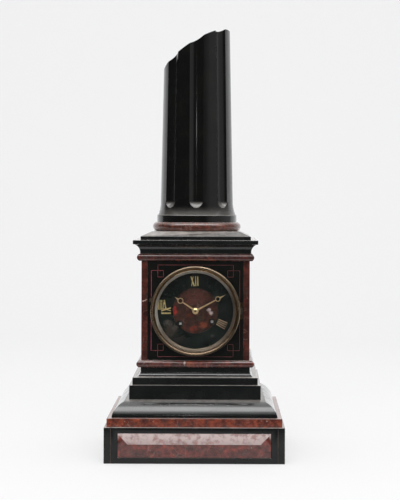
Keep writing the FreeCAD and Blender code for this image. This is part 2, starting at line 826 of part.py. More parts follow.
zero = as_size(0)
centre = (zero, zero)
going_barrel_spot = (barrel_across, -barrel_drop)
strike_barrel_spot = (-barrel_across, -barrel_drop)
second_spot = step_from(centre, spacing(second_module, second_teeth, pinion_leaves), second_bearing)
third_spot = step_from(centre, spacing(centre_module, centre_teeth, light_leaves), third_bearing)
third_step = spacing(third_module, third_teeth, light_leaves)
escape_rise = third_spot[1] + (third_step * third_step - third_spot[0] * third_spot[0]).root()
escape_spot = (zero, escape_rise)
anchor_spot = (zero, escape_rise + anchor_rise)
motion_spot = step_from(centre, spacing(cannon_module, motion_teeth, cannon_leaves), motion_bearing)
strike_step = spacing(barrel_module, barrel_teeth, pinion_leaves)
strike_second_spot = step_from(strike_barrel_spot, strike_step, strike_bearing)
strike_third_step = spacing(strike_module, strike_teeth, pinion_leaves)
strike_third_spot = step_from(strike_second_spot, strike_third_step, strike_third_bearing)
fly_step = spacing(fly_module, strike_third_teeth, light_leaves)
fly_spot = step_from(strike_third_spot, fly_step, fly_bearing)
hammer_spot = (-hammer_across, hammer_rise)
pillar_shares = [(0.72, 0.56), (-0.71, 0.62), (0.22, -0.87), (-0.22, -0.87)]


def dial_turned(spots, name):
    return turned(spots, z=dial_height, name=name)


def make_dial():
    """A black ring with a red middle, bored for the hands and the winding key."""
    holes = []
    for spot in (going_barrel_spot, strike_barrel_spot):
        start = dial_face - overrun
        holes.append(rod(winding_hole, at(*spot), start, dial_back + overrun))
    ring = [Spot(dial_face, centre_radius), Spot(dial_back, centre_radius)]
    ring += [Spot(dial_back, dial_radius), Spot(dial_face, dial_radius)]
    keep("chapter_ring", cut(dial_turned(ring, "chapter_ring"), *holes))
    sunk = dial_face + centre_sunk
    rim = centre_radius - running
    disc = [Spot(sunk, centre_hole), Spot(dial_back, centre_hole)]
    disc += [Spot(dial_back, rim), Spot(sunk, rim)]
    more = []
    for spot in (going_barrel_spot, strike_barrel_spot):
        more.append(rod(winding_hole, at(*spot), dial_face - overrun, dial_back + overrun))
    keep("dial_centre", cut(dial_turned(disc, "dial_centre"), *more))


def make_bezel_seat():
    inner = case_hole - loose - seat_tube
    outer = case_hole - loose
    ring = [Spot(seat_front, inner), Spot(dial_back, inner)]
    ring += [Spot(dial_back, seat_ledge_radius), Spot(ledge_back, seat_ledge_radius)]
    ring += [Spot(ledge_back, outer), Spot(case_face, outer)]
    ring += [Spot(case_face, seat_flange_radius), Spot(seat_front, seat_flange_radius)]
    seat = dial_turned(ring, "bezel_seat")
    leaf_x = (hinge_x - hinge_radius / 2, hinge_x + hinge_radius / 2)
    middle = hinge_knuckle / 2
    arms = []
    for side in (-1, 1):
        low = dial_height + side * (middle + seat_gap)
        high = dial_height + side * (middle + seat_gap + hinge_knuckle)
        z = (low, high) if side > 0 else (high, low)
        arms.append(post(hinge_radius, (hinge_x, hinge_y), z[0], z[1]))
        arms.append(block((seat_flange_radius - hinge_radius, leaf_x[1]), (seat_front, case_face), z))
    pin_hole = post(hinge_pin_radius, (hinge_x, hinge_y), *pin_span())
    keep("bezel_seat", cut(fuse(seat, *arms), pin_hole))
    hinge_pins.append(post(hinge_pin_radius, (hinge_x, hinge_y), *pin_span()))


hinge_pins = []


def pin_span():
    reach = 3 * hinge_knuckle / 2 + seat_gap
    return dial_height - reach, dial_height + reach


def make_bezel():
    """The door ring: a bead, a hollow, the glass and a slope behind it in to the sight edge."""
    back = seat_front - seat_gap
    front = back - bezel_depth
    bead_in = bezel_radius - 2 * bezel_bead
    bead_y = front + bezel_bead
    half_groove = (bead_in - bezel_lip) / 2
    depth = bezel_groove_depth
    sweep = (half_groove * half_groove + depth * depth) / (2 * depth)
    glass_back = back - glass_lift
    lip_y = glass_back - glass_thick
    rebate = bezel_lip + bezel_rebate
    ring = [Spot(back, bezel_sight), Spot(back, bezel_radius)]
    ring.append(Spot(bead_y, bezel_radius))
    ring.append(Spot(bead_y, bead_in, (bead_y, bezel_radius - bezel_bead), 1))
    ring.append(Spot(bead_y, bezel_lip, (bead_y + depth - sweep, bead_in - half_groove), -1))
    ring.append(Spot(lip_y, bezel_lip))
    ring.append(Spot(lip_y, rebate))
    ring.append(Spot(glass_back, rebate))
    ring.append(Spot(glass_back, bezel_lip))
    ring.append(Spot(back - bezel_edge, bezel_sight))
    door = dial_turned(ring, "bezel")
    middle = hinge_knuckle / 2
    z = (dial_height - middle, dial_height + middle)
    barrel = post(hinge_radius, (hinge_x, hinge_y), *z)
    leaf = block((bezel_radius - hinge_radius, hinge_x), (hinge_y - hinge_radius, back), z)
    hole = post(hinge_pin_radius + running, (hinge_x, hinge_y), z[0] - overrun, z[1] + overrun)
    tab_x = (-bezel_radius - tab_reach, -bezel_radius - tab_reach + tab_length)
    tab_z = (dial_height + tab_rise - tab_width / 2, dial_height + tab_rise + tab_width / 2)
    tab = block(tab_x, (back - tab_thick, back), tab_z)
    keep("bezel", cut(fuse(door, barrel, leaf, tab), hole))
    # The pane is flat, with a bevel that stands through the lip
    edge = rebate - running
    proud = lip_y - glass_proud
    pane = [Spot(proud, zero), Spot(glass_back, zero), Spot(glass_back, edge)]
    pane += [Spot(lip_y, edge), Spot(lip_y, bezel_lip - running)]
    pane.append(Spot(proud, bezel_lip - glass_bevel))
    keep("bezel_glass", dial_turned(pane, "bezel_glass"))


def make_back_opening():
    """A brass ring in the back, and its hinged door."""
    inner = back_hole - loose - seat_tube
    outer = back_hole - loose
    tube_front = half_depth - back_ring_tube
    ledge = inner - back_ring_ledge
    back = half_depth + back_ring_flange
    ring = [Spot(tube_front, outer), Spot(tube_front, ledge)]
    ring += [Spot(tube_front + seat_tube, ledge), Spot(tube_front + seat_tube, inner)]
    ring += [Spot(back, inner), Spot(back, back_ring_radius)]
    ring += [Spot(half_depth, back_ring_radius), Spot(half_depth, outer)]
    seat = dial_turned(ring, "back_ring")
    axis = (inner + hinge_radius, back + hinge_radius)
    middle = hinge_knuckle / 2
    arms = []
    for side in (-1, 1):
        near = dial_height + side * (middle + seat_gap)
        far = dial_height + side * (middle + seat_gap + hinge_knuckle)
        z = (near, far) if side > 0 else (far, near)
        arms.append(post(hinge_radius, axis, z[0], z[1]))
        arms.append(block((axis[0], back_ring_radius - hinge_radius), (back, axis[1]), z))
    pin_hole = post(hinge_pin_radius, axis, *pin_span())
    keep("back_ring", cut(fuse(seat, *arms), pin_hole))
    hinge_pins.append(post(hinge_pin_radius, axis, *pin_span()))
    door_front = back - back_door_rim
    cup = [Spot(back - back_door_thick, zero), Spot(back, zero)]
    cup += [Spot(back, back_door_radius), Spot(door_front, back_door_radius)]
    rim_in = back_door_radius - back_door_thick
    cup += [Spot(door_front, rim_in), Spot(back - back_door_thick, rim_in)]
    door = dial_turned(cup, "back_door")
    z = (dial_height - middle, dial_height + middle)
    barrel = post(hinge_radius, axis, *z)
    leaf = block((inner - hinge_knuckle, axis[0]), (back, axis[1]), z)
    hole = post(hinge_pin_radius + running, axis, z[0] - overrun, z[1] + overrun)
    knob_x = 2 * hinge_knuckle - back_door_radius
    knob = rod(back_door_knob, (knob_x, dial_height), back, back + back_door_rim)
    keep("back_door", cut(fuse(door, barrel, leaf, knob), hole))


hinge_x = bezel_radius + hinge_radius + seat_gap
hinge_y = seat_front - seat_gap


def make_straps():
    start, end = ledge_back, half_depth - back_ring_tube
    z = (dial_height - strap_width / 2, dial_height + strap_width / 2)
    right = block((strap_place, strap_place + strap_thick), (start, end), z)
    left = block((-strap_place - strap_thick, -strap_place), (start, end), z)
    keep("movement_straps", group(left, right))


# Numerals and hands


def stroke(u_low, u_high, width):
    """One straight stroke of an upright numeral, from its foot to its head."""
    half = width / 2
    foot = -numeral_height / 2
    head = numeral_height / 2
    outline = [Spot(u_low - half, foot), Spot(u_low + half, foot)]
    outline += [Spot(u_high + half, head), Spot(u_high - half, head)]
    return plate_from(outline, dial_face - numeral_relief, dial_face)


def numeral(strokes, hour):
    """Strokes of one numeral, set round the dial at its hour, head outwards."""
    holder = doc.addObject("Part::Compound", "numeral")
    holder.Links = [fuse(*strokes)] if len(strokes) > 1 else strokes
    angle = hour * 30 - turn.value
    x = numeral_radius * math.sin(math.radians(angle))
    z = dial_height + numeral_radius * math.cos(math.radians(angle))
    return place(holder, x, 0, z, Rotation(Vector(0, 1, 0), angle))


def slipped(strokes):
    """Strokes of the numeral that has come loose and lies upside down by the sight edge."""
    holder = doc.addObject("Part::Compound", "slipped")
    holder.Links = [fuse(*strokes)] if len(strokes) > 1 else strokes
    spot = (-slipped_across, 0, dial_height + slipped_rise)
    return place(holder, *spot, Rotation(Vector(0, 1, 0), 180))


def make_numerals():
    """Only the numerals that the dial still carries."""
    gap = numeral_pitch
    wide = numeral_stroke
    thin = numeral_thin
    twelve = [stroke(gap * -0.2, gap * -1.4, wide), stroke(gap * -1.3, gap * -0.5, thin)]
    parts = [numeral(twelve, 12.05)]
    parts += [numeral([stroke(gap * k, gap * k, wide * 0.75)], 12.05) for k in (0.45, 1.35)]
    four = (-1.35, -0.45, 0.45, 1.35)
    parts += [numeral([stroke(gap * k * 0.8, gap * k, thin)], 4) for k in four]
    nine = [stroke(gap * 0.0, gap * 1.2, thin), stroke(gap * 1.2, gap * 0.0, wide)]
    parts += [numeral(nine, 9.1), numeral([stroke(-gap, -gap, wide)], 9.1)]
    parts += [slipped([stroke(gap * k, gap * k, wide * 0.75)]) for k in (1.4, 0.72, 0.04)]
    five = [stroke(gap * -0.95, gap * -1.75, wide), stroke(gap * -0.95, gap * -0.45, thin)]
    parts.append(slipped(five))
    keep("numerals", group(*parts))


def hand(length, ring_reach, ring_radius, hole, plane, angle):
    """A hand with a hollow moon: boss, arm, ring and pointed tip."""
    start, end = plane - hand_thick, plane
    boss = rod(boss_radius, (zero, zero), start, end)
    root = hand_root / 2
    waist = hand_waist / 2
    inner = ring_radius - ring_width
    arm = [Spot(-root, zero), Spot(root, zero), Spot(waist, ring_reach - inner)]
    arm.append(Spot(-waist, ring_reach - inner))
    tip_start = ring_reach + inner
    tip = [Spot(-root, tip_start), Spot(root, tip_start), Spot(zero, length)]
    moon = rod(ring_radius, (zero, ring_reach), start, end)
    hollow = rod(inner, (zero, ring_reach), start - overrun, end + overrun)
    centre_cut = rod(hole, (zero, zero), start - overrun, end + overrun)
    outline = fuse(boss, plate_from(arm, start, end), plate_from(tip, start, end), moon)
    blade = cut(outline, hollow, centre_cut)
    holder = doc.addObject("Part::Compound", "hand")
    holder.Links = [blade]
    return place(holder, 0, 0, dial_height, Rotation(Vector(0, 1, 0), angle))


hour_hand_back = dial_face - hour_hand_gap
minute_hand_back = dial_face - minute_hand_gap
pipe_hole = hour_pipe_radius + running
cannon_hole = cannon_radius + running


def make_hands():
    hour_bore = pipe_hole
    hour = hand(hour_length, hour_ring_reach, hour_ring, hour_bore, hour_hand_back, hour_angle)
    keep("hour_hand", hour)
    bore_radius = cannon_hole
    plane = minute_hand_back
    minute = hand(minute_length, minute_ring_reach, minute_ring, bore_radius, plane, minute_angle)
    keep("minute_hand", group(minute, hand_collet()))


def hand_collet():
    """The domed washer that holds the minute hand on its arbor."""
    back = minute_hand_back - hand_thick
    bore_radius = centre_arbor_radius + running
    rise = collet_thick
    spread = collet_radius * collet_radius - bore_radius * bore_radius - rise * rise
    middle = back + spread / (2 * rise)
    dome = [Spot(back, bore_radius), Spot(back, collet_radius)]
    dome.append(Spot(back - rise, bore_radius, (middle, zero), 1))
    return dial_turned(dome, "collet")


# Wheels of the movement

wheel_shares = {"add": 0.7, "ded": 1.1, "root": 0.8, "tip": 0.0}
pinion_shares = {"add": 0.6, "ded": 1.2, "root": 0.6, "tip": 0.2}


def gear(teeth, module, phase, spot, start, thick, shares, hole=None):
    """A toothed wheel: its phase is the angle of one tooth, anticlockwise from the right."""
    radius = teeth * module.value / 2
    pitch = 2 * math.pi / teeth
    root_radius = radius - shares["ded"] * module.value
    tip_radius = radius + shares["add"] * module.value
    rim = []
    for i in range(teeth):
        middle = phase + i * pitch
        half_root = shares["root"] * pitch / 2
        half_tip = shares["tip"] * pitch / 2
        rim.append((root_radius, middle - half_root))
        rim.append((tip_radius, middle - half_tip))
        if half_tip:
            rim.append((tip_radius, middle + half_tip))
        rim.append((root_radius, middle + half_root))
    corners = [Vector(r * math.cos(a), 0, r * math.sin(a)) for r, a in rim]
    face = Part.Face(Part.makePolygon(corners + corners[:1]))
    wheel = face.extrude(Vector(0, thick.value, 0))
    if hole is not None:
        wheel = wheel.cut(Part.makeCylinder(hole.value, thick.value, Vector(), Vector(0, 1, 0)))
    feature = doc.addObject("Part::Feature", "gear")
    feature.Shape = wheel
    x, z = at(*spot)
    return place(feature, x, start, z)


def partner_phase(phase, teeth, leaves, spot, other):
    """The phase that puts a tooth of one wheel in a gap of the other."""
    (x, z), (x_other, z_other) = at(*spot), at(*other)
    angle = math.atan2(z_other.value - z.value, x_other.value - x.value)
    return angle + math.pi - (phase - angle) * teeth / leaves - math.pi / leaves


def arbor(spot, radius=None, start=None, end=None):
    """A plain arbor between the two plates."""
    radius = radius or arbor_radius
    start = start or front_plate_face + overrun / 4
    end = end or back_plate_back - overrun / 4
    return rod(radius, at(*spot), start, end, "arbor")


def mobile(name, spot, wheel, pinion, radius=None):
    """A wheel and the arbor with its pinion, two solids in one turning node."""
    teeth, module, plane, phase, step = wheel
    leaves, pinion_module, pinion_plane, pinion_phase = pinion
    radius = radius or arbor_radius
    start = train_front + plane
    disc = gear(teeth, module, phase, spot, start, wheel_thick, step, radius + running)
    leaf_start = train_front + pinion_plane
    args = (leaves, pinion_module, pinion_phase, spot, leaf_start, pinion_length, pinion_shares)
    keep(name + "_wheel", group(disc, fuse(arbor(spot, radius), gear(*args))))


def barrel(name, spot):
    """A drum with its toothed flange at the back, turning on the winding arbor."""
    start = train_front + barrel_start
    flange = start + barrel_length
    bore_radius = barrel_arbor + running
    shell = rod(barrel_drum, at(*spot), start, flange)
    core_start = start + barrel_wall
    core_end = flange - barrel_wall
    inner = barrel_drum - barrel_wall
    hub = barrel_arbor + 2 * barrel_wall
    chamber = cut(
        rod(inner, at(*spot), core_start, core_end), rod(hub, at(*spot), core_start, core_end)
    )
    teeth = gear(barrel_teeth, barrel_module, 0.0, spot, flange, barrel_flange, wheel_shares)
    hole = rod(bore_radius, at(*spot), start - overrun, flange + barrel_flange + overrun)
    keep(name + "_barrel", cut(fuse(shell, teeth), chamber, hole))


def winding_arbor(name, spot):
    """The arbor that the key turns, with its square end and its ratchet wheel."""
    square_front = dial_face + square_set_back
    shank_front = front_plate_face - ratchet_thick - 2 * seat_gap
    shank = rod(barrel_arbor, at(*spot), shank_front, train_back + plate_thick / 2)
    half = square_side / 2
    square = block((-half, half), (square_front, shank_front), (-half, half), "square")
    holder = doc.addObject("Part::Compound", "square_end")
    holder.Links = [square]
    x, z = at(*spot)
    place(holder, x, 0, z, Rotation(Vector(0, 1, 0), -turn.value))
    start = front_plate_face - ratchet_thick - seat_gap
    module = ratchet_radius / (ratchet_teeth / 2)
    teeth = gear(ratchet_teeth, module, 0, spot, start, ratchet_thick, wheel_shares)
    keep(name + "_winding_arbor", fuse(shank, holder, teeth))


def click(side):
    """The click of one ratchet, screwed to the front plate and riding just clear of the teeth."""
    reach = ratchet_radius * (1 + 2 * wheel_shares["add"] / ratchet_teeth) + seat_gap
    u = side * barrel_across
    v = reach - barrel_drop
    end = front_plate_face
    start = end - ratchet_thick - seat_gap
    x, z = at(u, v + click_width / 2)
    stud = rod(click_width / 2, (x, z), start, end)
    half = click_width / 2
    lever = block((zero, click_length), (start, end - seat_gap), (-half, half), "lever")
    holder = doc.addObject("Part::Compound", "click")
    holder.Links = [lever]
    heading = -turn.value if side > 0 else 180 - turn.value
    place(holder, x, 0, z, Rotation(Vector(0, 1, 0), heading))
    return fuse(stud, holder)


def make_barrels():
    for name, spot in (("going", going_barrel_spot), ("strike", strike_barrel_spot)):
        barrel(name, spot)
        winding_arbor(name, spot)
    keep("ratchet_clicks", group(click(1), click(-1)))


def make_trains():
    """Each phase follows from the wheel before it, so the teeth mesh at rest."""
    flange_plane = barrel_start + barrel_length - (pinion_length - barrel_flange) / 2
    args = (0.0, barrel_teeth, pinion_leaves, going_barrel_spot, second_spot)
    second_wheel = (second_teeth, second_module, second_plane, 0.0, wheel_shares)
    second_pinion = (pinion_leaves, barrel_module, flange_plane, partner_phase(*args))
    mobile("second", second_spot, second_wheel, second_pinion)
    # The centre arbor carries the cannon and the minute hand
    plane = second_plane - (pinion_length - wheel_thick) / 2
    phase = partner_phase(0.0, second_teeth, pinion_leaves, second_spot, centre)
    start = train_front + plane
    leaves = gear(pinion_leaves, second_module, phase, centre, start, pinion_length, pinion_shares)
    front = minute_hand_back - hand_thick - collet_thick
    shaft = fuse(arbor(centre, centre_arbor_radius, start=front), leaves)
    keep("centre_arbor", shaft)
    hole = centre_arbor_radius + running
    start = train_front + centre_plane
    disc = (centre_teeth, centre_module, 0.0, centre, start, wheel_thick, wheel_shares, hole)
    keep("centre_wheel", gear(*disc))
    plane = centre_plane - (pinion_length - wheel_thick) / 2
    phase = partner_phase(0.0, centre_teeth, light_leaves, centre, third_spot)
    third_wheel = (third_teeth, third_module, third_plane, 0.0, wheel_shares)
    mobile("third", third_spot, third_wheel, (light_leaves, centre_module, plane, phase))
    plane = third_plane - (pinion_length - wheel_thick) / 2
    phase = partner_phase(0.0, third_teeth, light_leaves, third_spot, escape_spot)
    module = escape_radius / (escape_teeth / 2)
    escape_wheel = (escape_teeth, module, escape_plane, 0.0, wheel_shares)
    mobile("escape", escape_spot, escape_wheel, (light_leaves, third_module, plane, phase))
    # Strike train
    args = (0.0, barrel_teeth, pinion_leaves, strike_barrel_spot, strike_second_spot)
    strike_wheel = (strike_teeth, strike_module, second_plane, 0.0, wheel_shares)
    strike_pinion = (pinion_leaves, barrel_module, flange_plane, partner_phase(*args))
    mobile("strike_second", strike_second_spot, strike_wheel, strike_pinion)
    plane = second_plane - (pinion_length - wheel_thick) / 2
    args = (0.0, strike_teeth, pinion_leaves, strike_second_spot, strike_third_spot)
    third = (strike_third_teeth, fly_module, strike_third_plane, 0.0, wheel_shares)
    leaves = (pinion_leaves, strike_module, plane, partner_phase(*args))
    mobile("strike_third", strike_third_spot, third, leaves)
    make_fly()


def make_fly():
    plane = strike_third_plane - (pinion_length - wheel_thick) / 2
    phase = partner_phase(0.0, strike_third_teeth, light_leaves, strike_third_spot, fly_spot)
    start = train_front + plane
    leaves = gear(light_leaves, fly_module, phase, fly_spot, start, pinion_length, pinion_shares)
    vane_start = train_front + fly_vane_start
    x, z = at(*fly_spot)
    across = (x - fly_vane_half, x + fly_vane_half)
    vane_y = (vane_start, vane_start + fly_vane_length)
    vane = block(across, vane_y, (z - fly_vane_thick / 2, z + fly_vane_thick / 2))
    keep("fly", fuse(arbor(fly_spot), leaves, vane))


def make_motion_work():
    """Cannon pinion, minute wheel and hour wheel, in front of the front plate: 12 to 1."""
    cannon_end = front_plate_face - cannon_plane
    cannon_start = cannon_end - wheel_thick
    phase = 0.0
    args = (cannon_leaves, cannon_module, phase, centre, cannon_start, wheel_thick)
    leaves = gear(*args, pinion_shares)
    tube_start = minute_hand_back - hand_thick
    tube = rod(cannon_radius, at(*centre), tube_start, cannon_end)
    hole_start = tube_start - overrun
    hole = rod(centre_arbor_radius + running, at(*centre), hole_start, cannon_end + overrun)
    keep("cannon_pinion", cut(fuse(leaves, tube), hole))
    motion_phase = partner_phase(phase, cannon_leaves, motion_teeth, centre, motion_spot)
    args = (motion_teeth, cannon_module, motion_phase, motion_spot, cannon_start, wheel_thick)
    wheel = gear(*args, wheel_shares)
    hour_module = spacing(cannon_module, motion_teeth, cannon_leaves) / (
        (hour_teeth + pinion_leaves) / 2
    )
    hour_end = front_plate_face - hour_plane
    hour_start = hour_end - wheel_thick
    leaf_length = cannon_start - hour_start
    small = (pinion_leaves, hour_module, 0.0, motion_spot, hour_start, leaf_length, pinion_shares)
    stud_hole_end = cannon_end + overrun
    stud_hole = rod(arbor_radius + running, at(*motion_spot), hour_start - overrun, stud_hole_end)
    keep("minute_wheel", cut(fuse(wheel, gear(*small)), stud_hole))
    hour_phase = partner_phase(0.0, pinion_leaves, hour_teeth, motion_spot, centre)
    args = (hour_teeth, hour_module, hour_phase, centre, hour_start, wheel_thick, wheel_shares)
    disc = gear(*args)
    pipe = rod(hour_pipe_radius, at(*centre), hour_hand_back - hand_thick, hour_end)
    pipe_start = hour_hand_back - hand_thick - overrun
    bore_tool = rod(cannon_hole, at(*centre), pipe_start, hour_end + overrun)
    keep("hour_wheel", cut(fuse(disc, pipe), bore_tool))


def make_frame():
    """Two plates and the pillars between them, with a hole for each arbor."""
    train = [second_spot, third_spot, escape_spot, anchor_spot]
    train += [strike_second_spot, strike_third_spot, fly_spot]
    holes = [(spot, arbor_radius + running) for spot in train]
    holes.append((centre, centre_arbor_radius + running))
    holes.append((hammer_spot, hammer_arbor_radius + running))
    holes.append((going_barrel_spot, barrel_arbor + running))
    holes.append((strike_barrel_spot, barrel_arbor + running))
    for name, start in (("front_plate", front_plate_face), ("back_plate", train_back)):
        end = start + plate_thick
        disc = rod(plate_radius, (zero, dial_height), start, end)
        tools = [rod(r, at(*spot), start - overrun, end + overrun) for spot, r in holes]
        plate = cut(disc, *tools)
        if name == "front_plate":
            stud_start = front_plate_face - hour_plane - wheel_thick
            plate = fuse(plate, rod(arbor_radius, at(*motion_spot), stud_start, end))
        keep(name, plate)
    pillars = []
    for across, up in pillar_shares:
        spot = at(across * plate_radius, up * plate_radius)
        shaft = rod(pillar_radius, spot, train_front, train_back)
        collar_end = train_front + pillar_collar_length
        front = rod(pillar_collar, spot, train_front, collar_end)
        back = rod(pillar_collar, spot, train_back - pillar_collar_length, train_back)
        pillars.append(fuse(shaft, front, back))
    keep("plate_pillars", group(*pillars))
    posts = []
    for angle in (30, 150, 210, 330):
        x = post_circle * math.cos(math.radians(angle))
        z = dial_height + post_circle * math.sin(math.radians(angle))
        posts.append(rod(post_radius, (x, z), ledge_back, front_plate_face))
    keep("dial_posts", group(*posts))


def anchor_outline():
    """An arched bar with a pallet at each end, about its own pivot."""
    drop = anchor_rise - anchor_drop
    foot = -drop
    arm = anchor_arm / 2
    outline = [Spot(zero, arm), Spot(-anchor_span - arm, foot + anchor_arm)]
    outline += [Spot(-anchor_span - arm, foot), Spot(-anchor_span + arm, foot)]
    outline += [Spot(zero, -arm), Spot(anchor_span - arm, foot)]
    outline += [Spot(anchor_span + arm, foot), Spot(anchor_span + arm, foot + anchor_arm)]
    return outline


def make_pendulum():
    """Spring, rod, bob and rating nut, hung from the cock behind the back plate."""
    x, z = at(*anchor_spot)
    y = back_plate_back + pendulum_plane
    half_w = spring_width / 2
    half_t = spring_thick / 2
    spring_top = z + crutch_width + seat_gap
    spring_low = z - spring_length
    spring_x = (x - half_t, x + half_t)
    keep("suspension_spring", block(spring_x, (y - half_w, y + half_w), (spring_low, spring_top)))
    bob_z = z - pendulum_length
    shank_low = bob_z - bob_radius - 3 * nut_length
    shank = post(pendulum_rod, (x, y), shank_low, spring_low)
    edge = bob_edge / 2
    face = bob_thick / 2
    sweep_face = face - edge
    lens = (bob_radius * bob_radius + sweep_face * sweep_face) / (2 * sweep_face)
    disc = [Spot(-face, zero), Spot(face, zero)]
    disc.append(Spot(edge, bob_radius, (face - lens, zero)))
    disc.append(Spot(-edge, bob_radius))
    disc[0] = Spot(-face, zero, (lens - face, zero))
    body = turned([disc[1], disc[2], disc[3], disc[0]], x, y, bob_z, name="bob")
    hole_low = bob_z - bob_radius - overrun
    hole = post(pendulum_rod + running, (x, y), hole_low, bob_z + bob_radius + overrun)
    keep("pendulum_bob", cut(body, hole))
    nut_top = bob_z - bob_radius
    nut = post(nut_size, (x, y), nut_top - nut_length, nut_top)
    nut_hole = post(pendulum_rod + running, (x, y), nut_top - nut_length - overrun, nut_top + overrun)
    keep("pendulum_rod", group(shank, cut(nut, nut_hole)))
    cock_low = spring_top + seat_gap
    cock_y = (back_plate_back, back_plate_back + cock_depth)
    cock_x = (x - cock_half, x + cock_half)
    keep("suspension_cock", block(cock_x, cock_y, (cock_low, cock_low + cock_height)))


def make_anchor():
    """Anchor on its arbor, with the crutch behind the back plate."""
    x, z = at(*anchor_spot)
    start = train_front + escape_plane
    pivot_u, pivot_v = anchor_spot
    shifted = [Spot(*at(pivot_u + c.u, pivot_v + c.v)) for c in anchor_outline()]
    arms = plate_from(shifted, start, start + wheel_thick)
    shaft_end = back_plate_back + 2 * overrun
    shaft = rod(arbor_radius, (x, z), front_plate_face + overrun / 4, shaft_end)
    keep("anchor", fuse(arms, shaft))
    crutch_y = (back_plate_back + overrun / 2, back_plate_back + overrun / 2 + wheel_thick)
    half = crutch_width / 2
    low = z - crutch_length
    lever = block((x - half, x + half), crutch_y, (low, z + crutch_width))
    fork_y = (crutch_y[0], back_plate_back + pendulum_plane + 2 * pendulum_rod)
    gap = pendulum_rod + crutch_gap
    right = block((x + gap, x + gap + half), fork_y, (low, low + crutch_width))
    left = block((x - gap - half, x - gap), fork_y, (low, low + crutch_width))
    bar = block((x - gap - half, x + gap + half), crutch_y, (low, low + crutch_width))
    hole = rod(arbor_radius + running, (x, z), crutch_y[0] - overrun, crutch_y[1] + overrun)
    hub = rod(crutch_width, (x, z), *crutch_y)
    keep("crutch", cut(fuse(lever, hub, bar, left, right), hole))


def make_bell():
    """A shallow bell on its stand, and the hammer beside its rim."""
    x, z = at(zero, -bell_drop)
    mouth = back_plate_back + bell_plane
    crown = mouth + bell_depth
    sweep = (bell_radius * bell_radius + bell_depth * bell_depth) / (2 * bell_depth)
    inner = bell_radius - bell_wall
    inner_crown = crown - bell_wall
    inner_depth = bell_depth - bell_wall
    inner_sweep = (inner * inner + inner_depth * inner_depth) / (2 * inner_depth)
    hole = bell_bolt + running
    reach = (sweep * sweep - hole * hole).root()
    inner_reach = (inner_sweep * inner_sweep - hole * hole).root()
    dome = [Spot(mouth, bell_radius), Spot(mouth, inner)]
    centre_in = inner_crown - inner_sweep
    dome.append(Spot(centre_in + inner_reach, hole, (centre_in, zero), -1))
    centre_out = crown - sweep
    dome.append(Spot(centre_out + reach, hole))
    dome[0] = Spot(mouth, bell_radius, (centre_out, zero), 1)
    keep("bell", turned(dome, x, zero, z, name="bell"))
    sx, sz = at(stand_across, -stand_drop)
    arm_y = (mouth, mouth + stand_arm)
    pillar = rod(stand_radius, (sx, sz), back_plate_back, arm_y[1])
    run_u, run_v = sx - x, z - sz
    length = (run_u * run_u + run_v * run_v).root()
    bar = block((zero, length), arm_y, (-stand_radius, stand_radius), "arm")
    holder = doc.addObject("Part::Compound", "stand_arm")
    holder.Links = [bar]
    slope = math.degrees(math.atan2(run_v.value, run_u.value))
    place(holder, x, 0, z, Rotation(Vector(0, 1, 0), slope))
    bolt = rod(bell_bolt, (x, z), arm_y[0], crown + stand_arm)
    shoulder = rod(stand_radius, (x, z), arm_y[0], inner_crown - seat_gap)
    nut = rod(2 * bell_bolt, (x, z), crown, crown + stand_arm / 2)
    nut_bore = rod(hole, (x, z), crown - overrun, crown + stand_arm)
    stand = fuse(pillar, holder, bolt, shoulder)
    keep("bell_stand", group(stand, cut(nut, nut_bore)))


def make_hammer():
    x, z = at(*hammer_spot)
    arm_start = back_plate_back + hammer_plane
    arm_end = arm_start + hammer_arm
    shaft = rod(hammer_arbor_radius, (x, z), front_plate_face + overrun / 4, arm_end)
    head_z = z - hammer_drop
    half = hammer_arm / 2
    lever = block((x - half, x + half), (arm_start, arm_end), (head_z, z))
    head_y = (arm_start - hammer_head / 2, arm_end + hammer_head / 2)
    head = rod(hammer_radius, (x, head_z), *head_y)
    keep("hammer", fuse(shaft, lever, head))


make_base()
make_courses()
make_case()
make_top()
make_column()
make_tie_rod()
make_dial()
make_bezel_seat()
make_bezel()
make_back_opening()
keep("hinge_pins", group(*hinge_pins))
make_straps()
make_numerals()
make_hands()
make_barrels()
make_trains()
make_motion_work()
make_frame()
make_anchor()
make_pendulum()
make_bell()
make_hammer()

# Check every object and write one file for each sub-part
doc.recompute()
for thing in doc.Objects:
    if "Invalid" in thing.State or "Error" in thing.State:
        raise RuntimeError(f"{thing.Name} ({thing.Label}) failed: {thing.State}")
os.makedirs("parts", exist_ok=True)
for node, thing in nodes.items():
    shape = thing.Shape
    if shape.isNull() or not shape.isValid() or not shape.Solids:
        raise RuntimeError(f"{node} has no valid solid")
    shape.exportStep(f"parts/{node}.step")
    box = shape.BoundBox
    print(f"{node}: {len(shape.Solids)} solid(s), {shape.Volume / 1000:.1f} cm3, top {box.ZMax:.1f}")
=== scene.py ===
# %% [markdown]
# # A column clock in black slate and red marble
#
# This lesson dresses a finished CAD clock for a studio picture. The solids come from the CAD model
# and stay where they are. Blender adds what CAD has no words for: the polish of the stone, the veins
# of the marble, tired brass, dust on the ledges, engraved lines and screw slots.

# %% Load the clock
import math
import bmesh
import bpy
from mathutils import Matrix, Vector


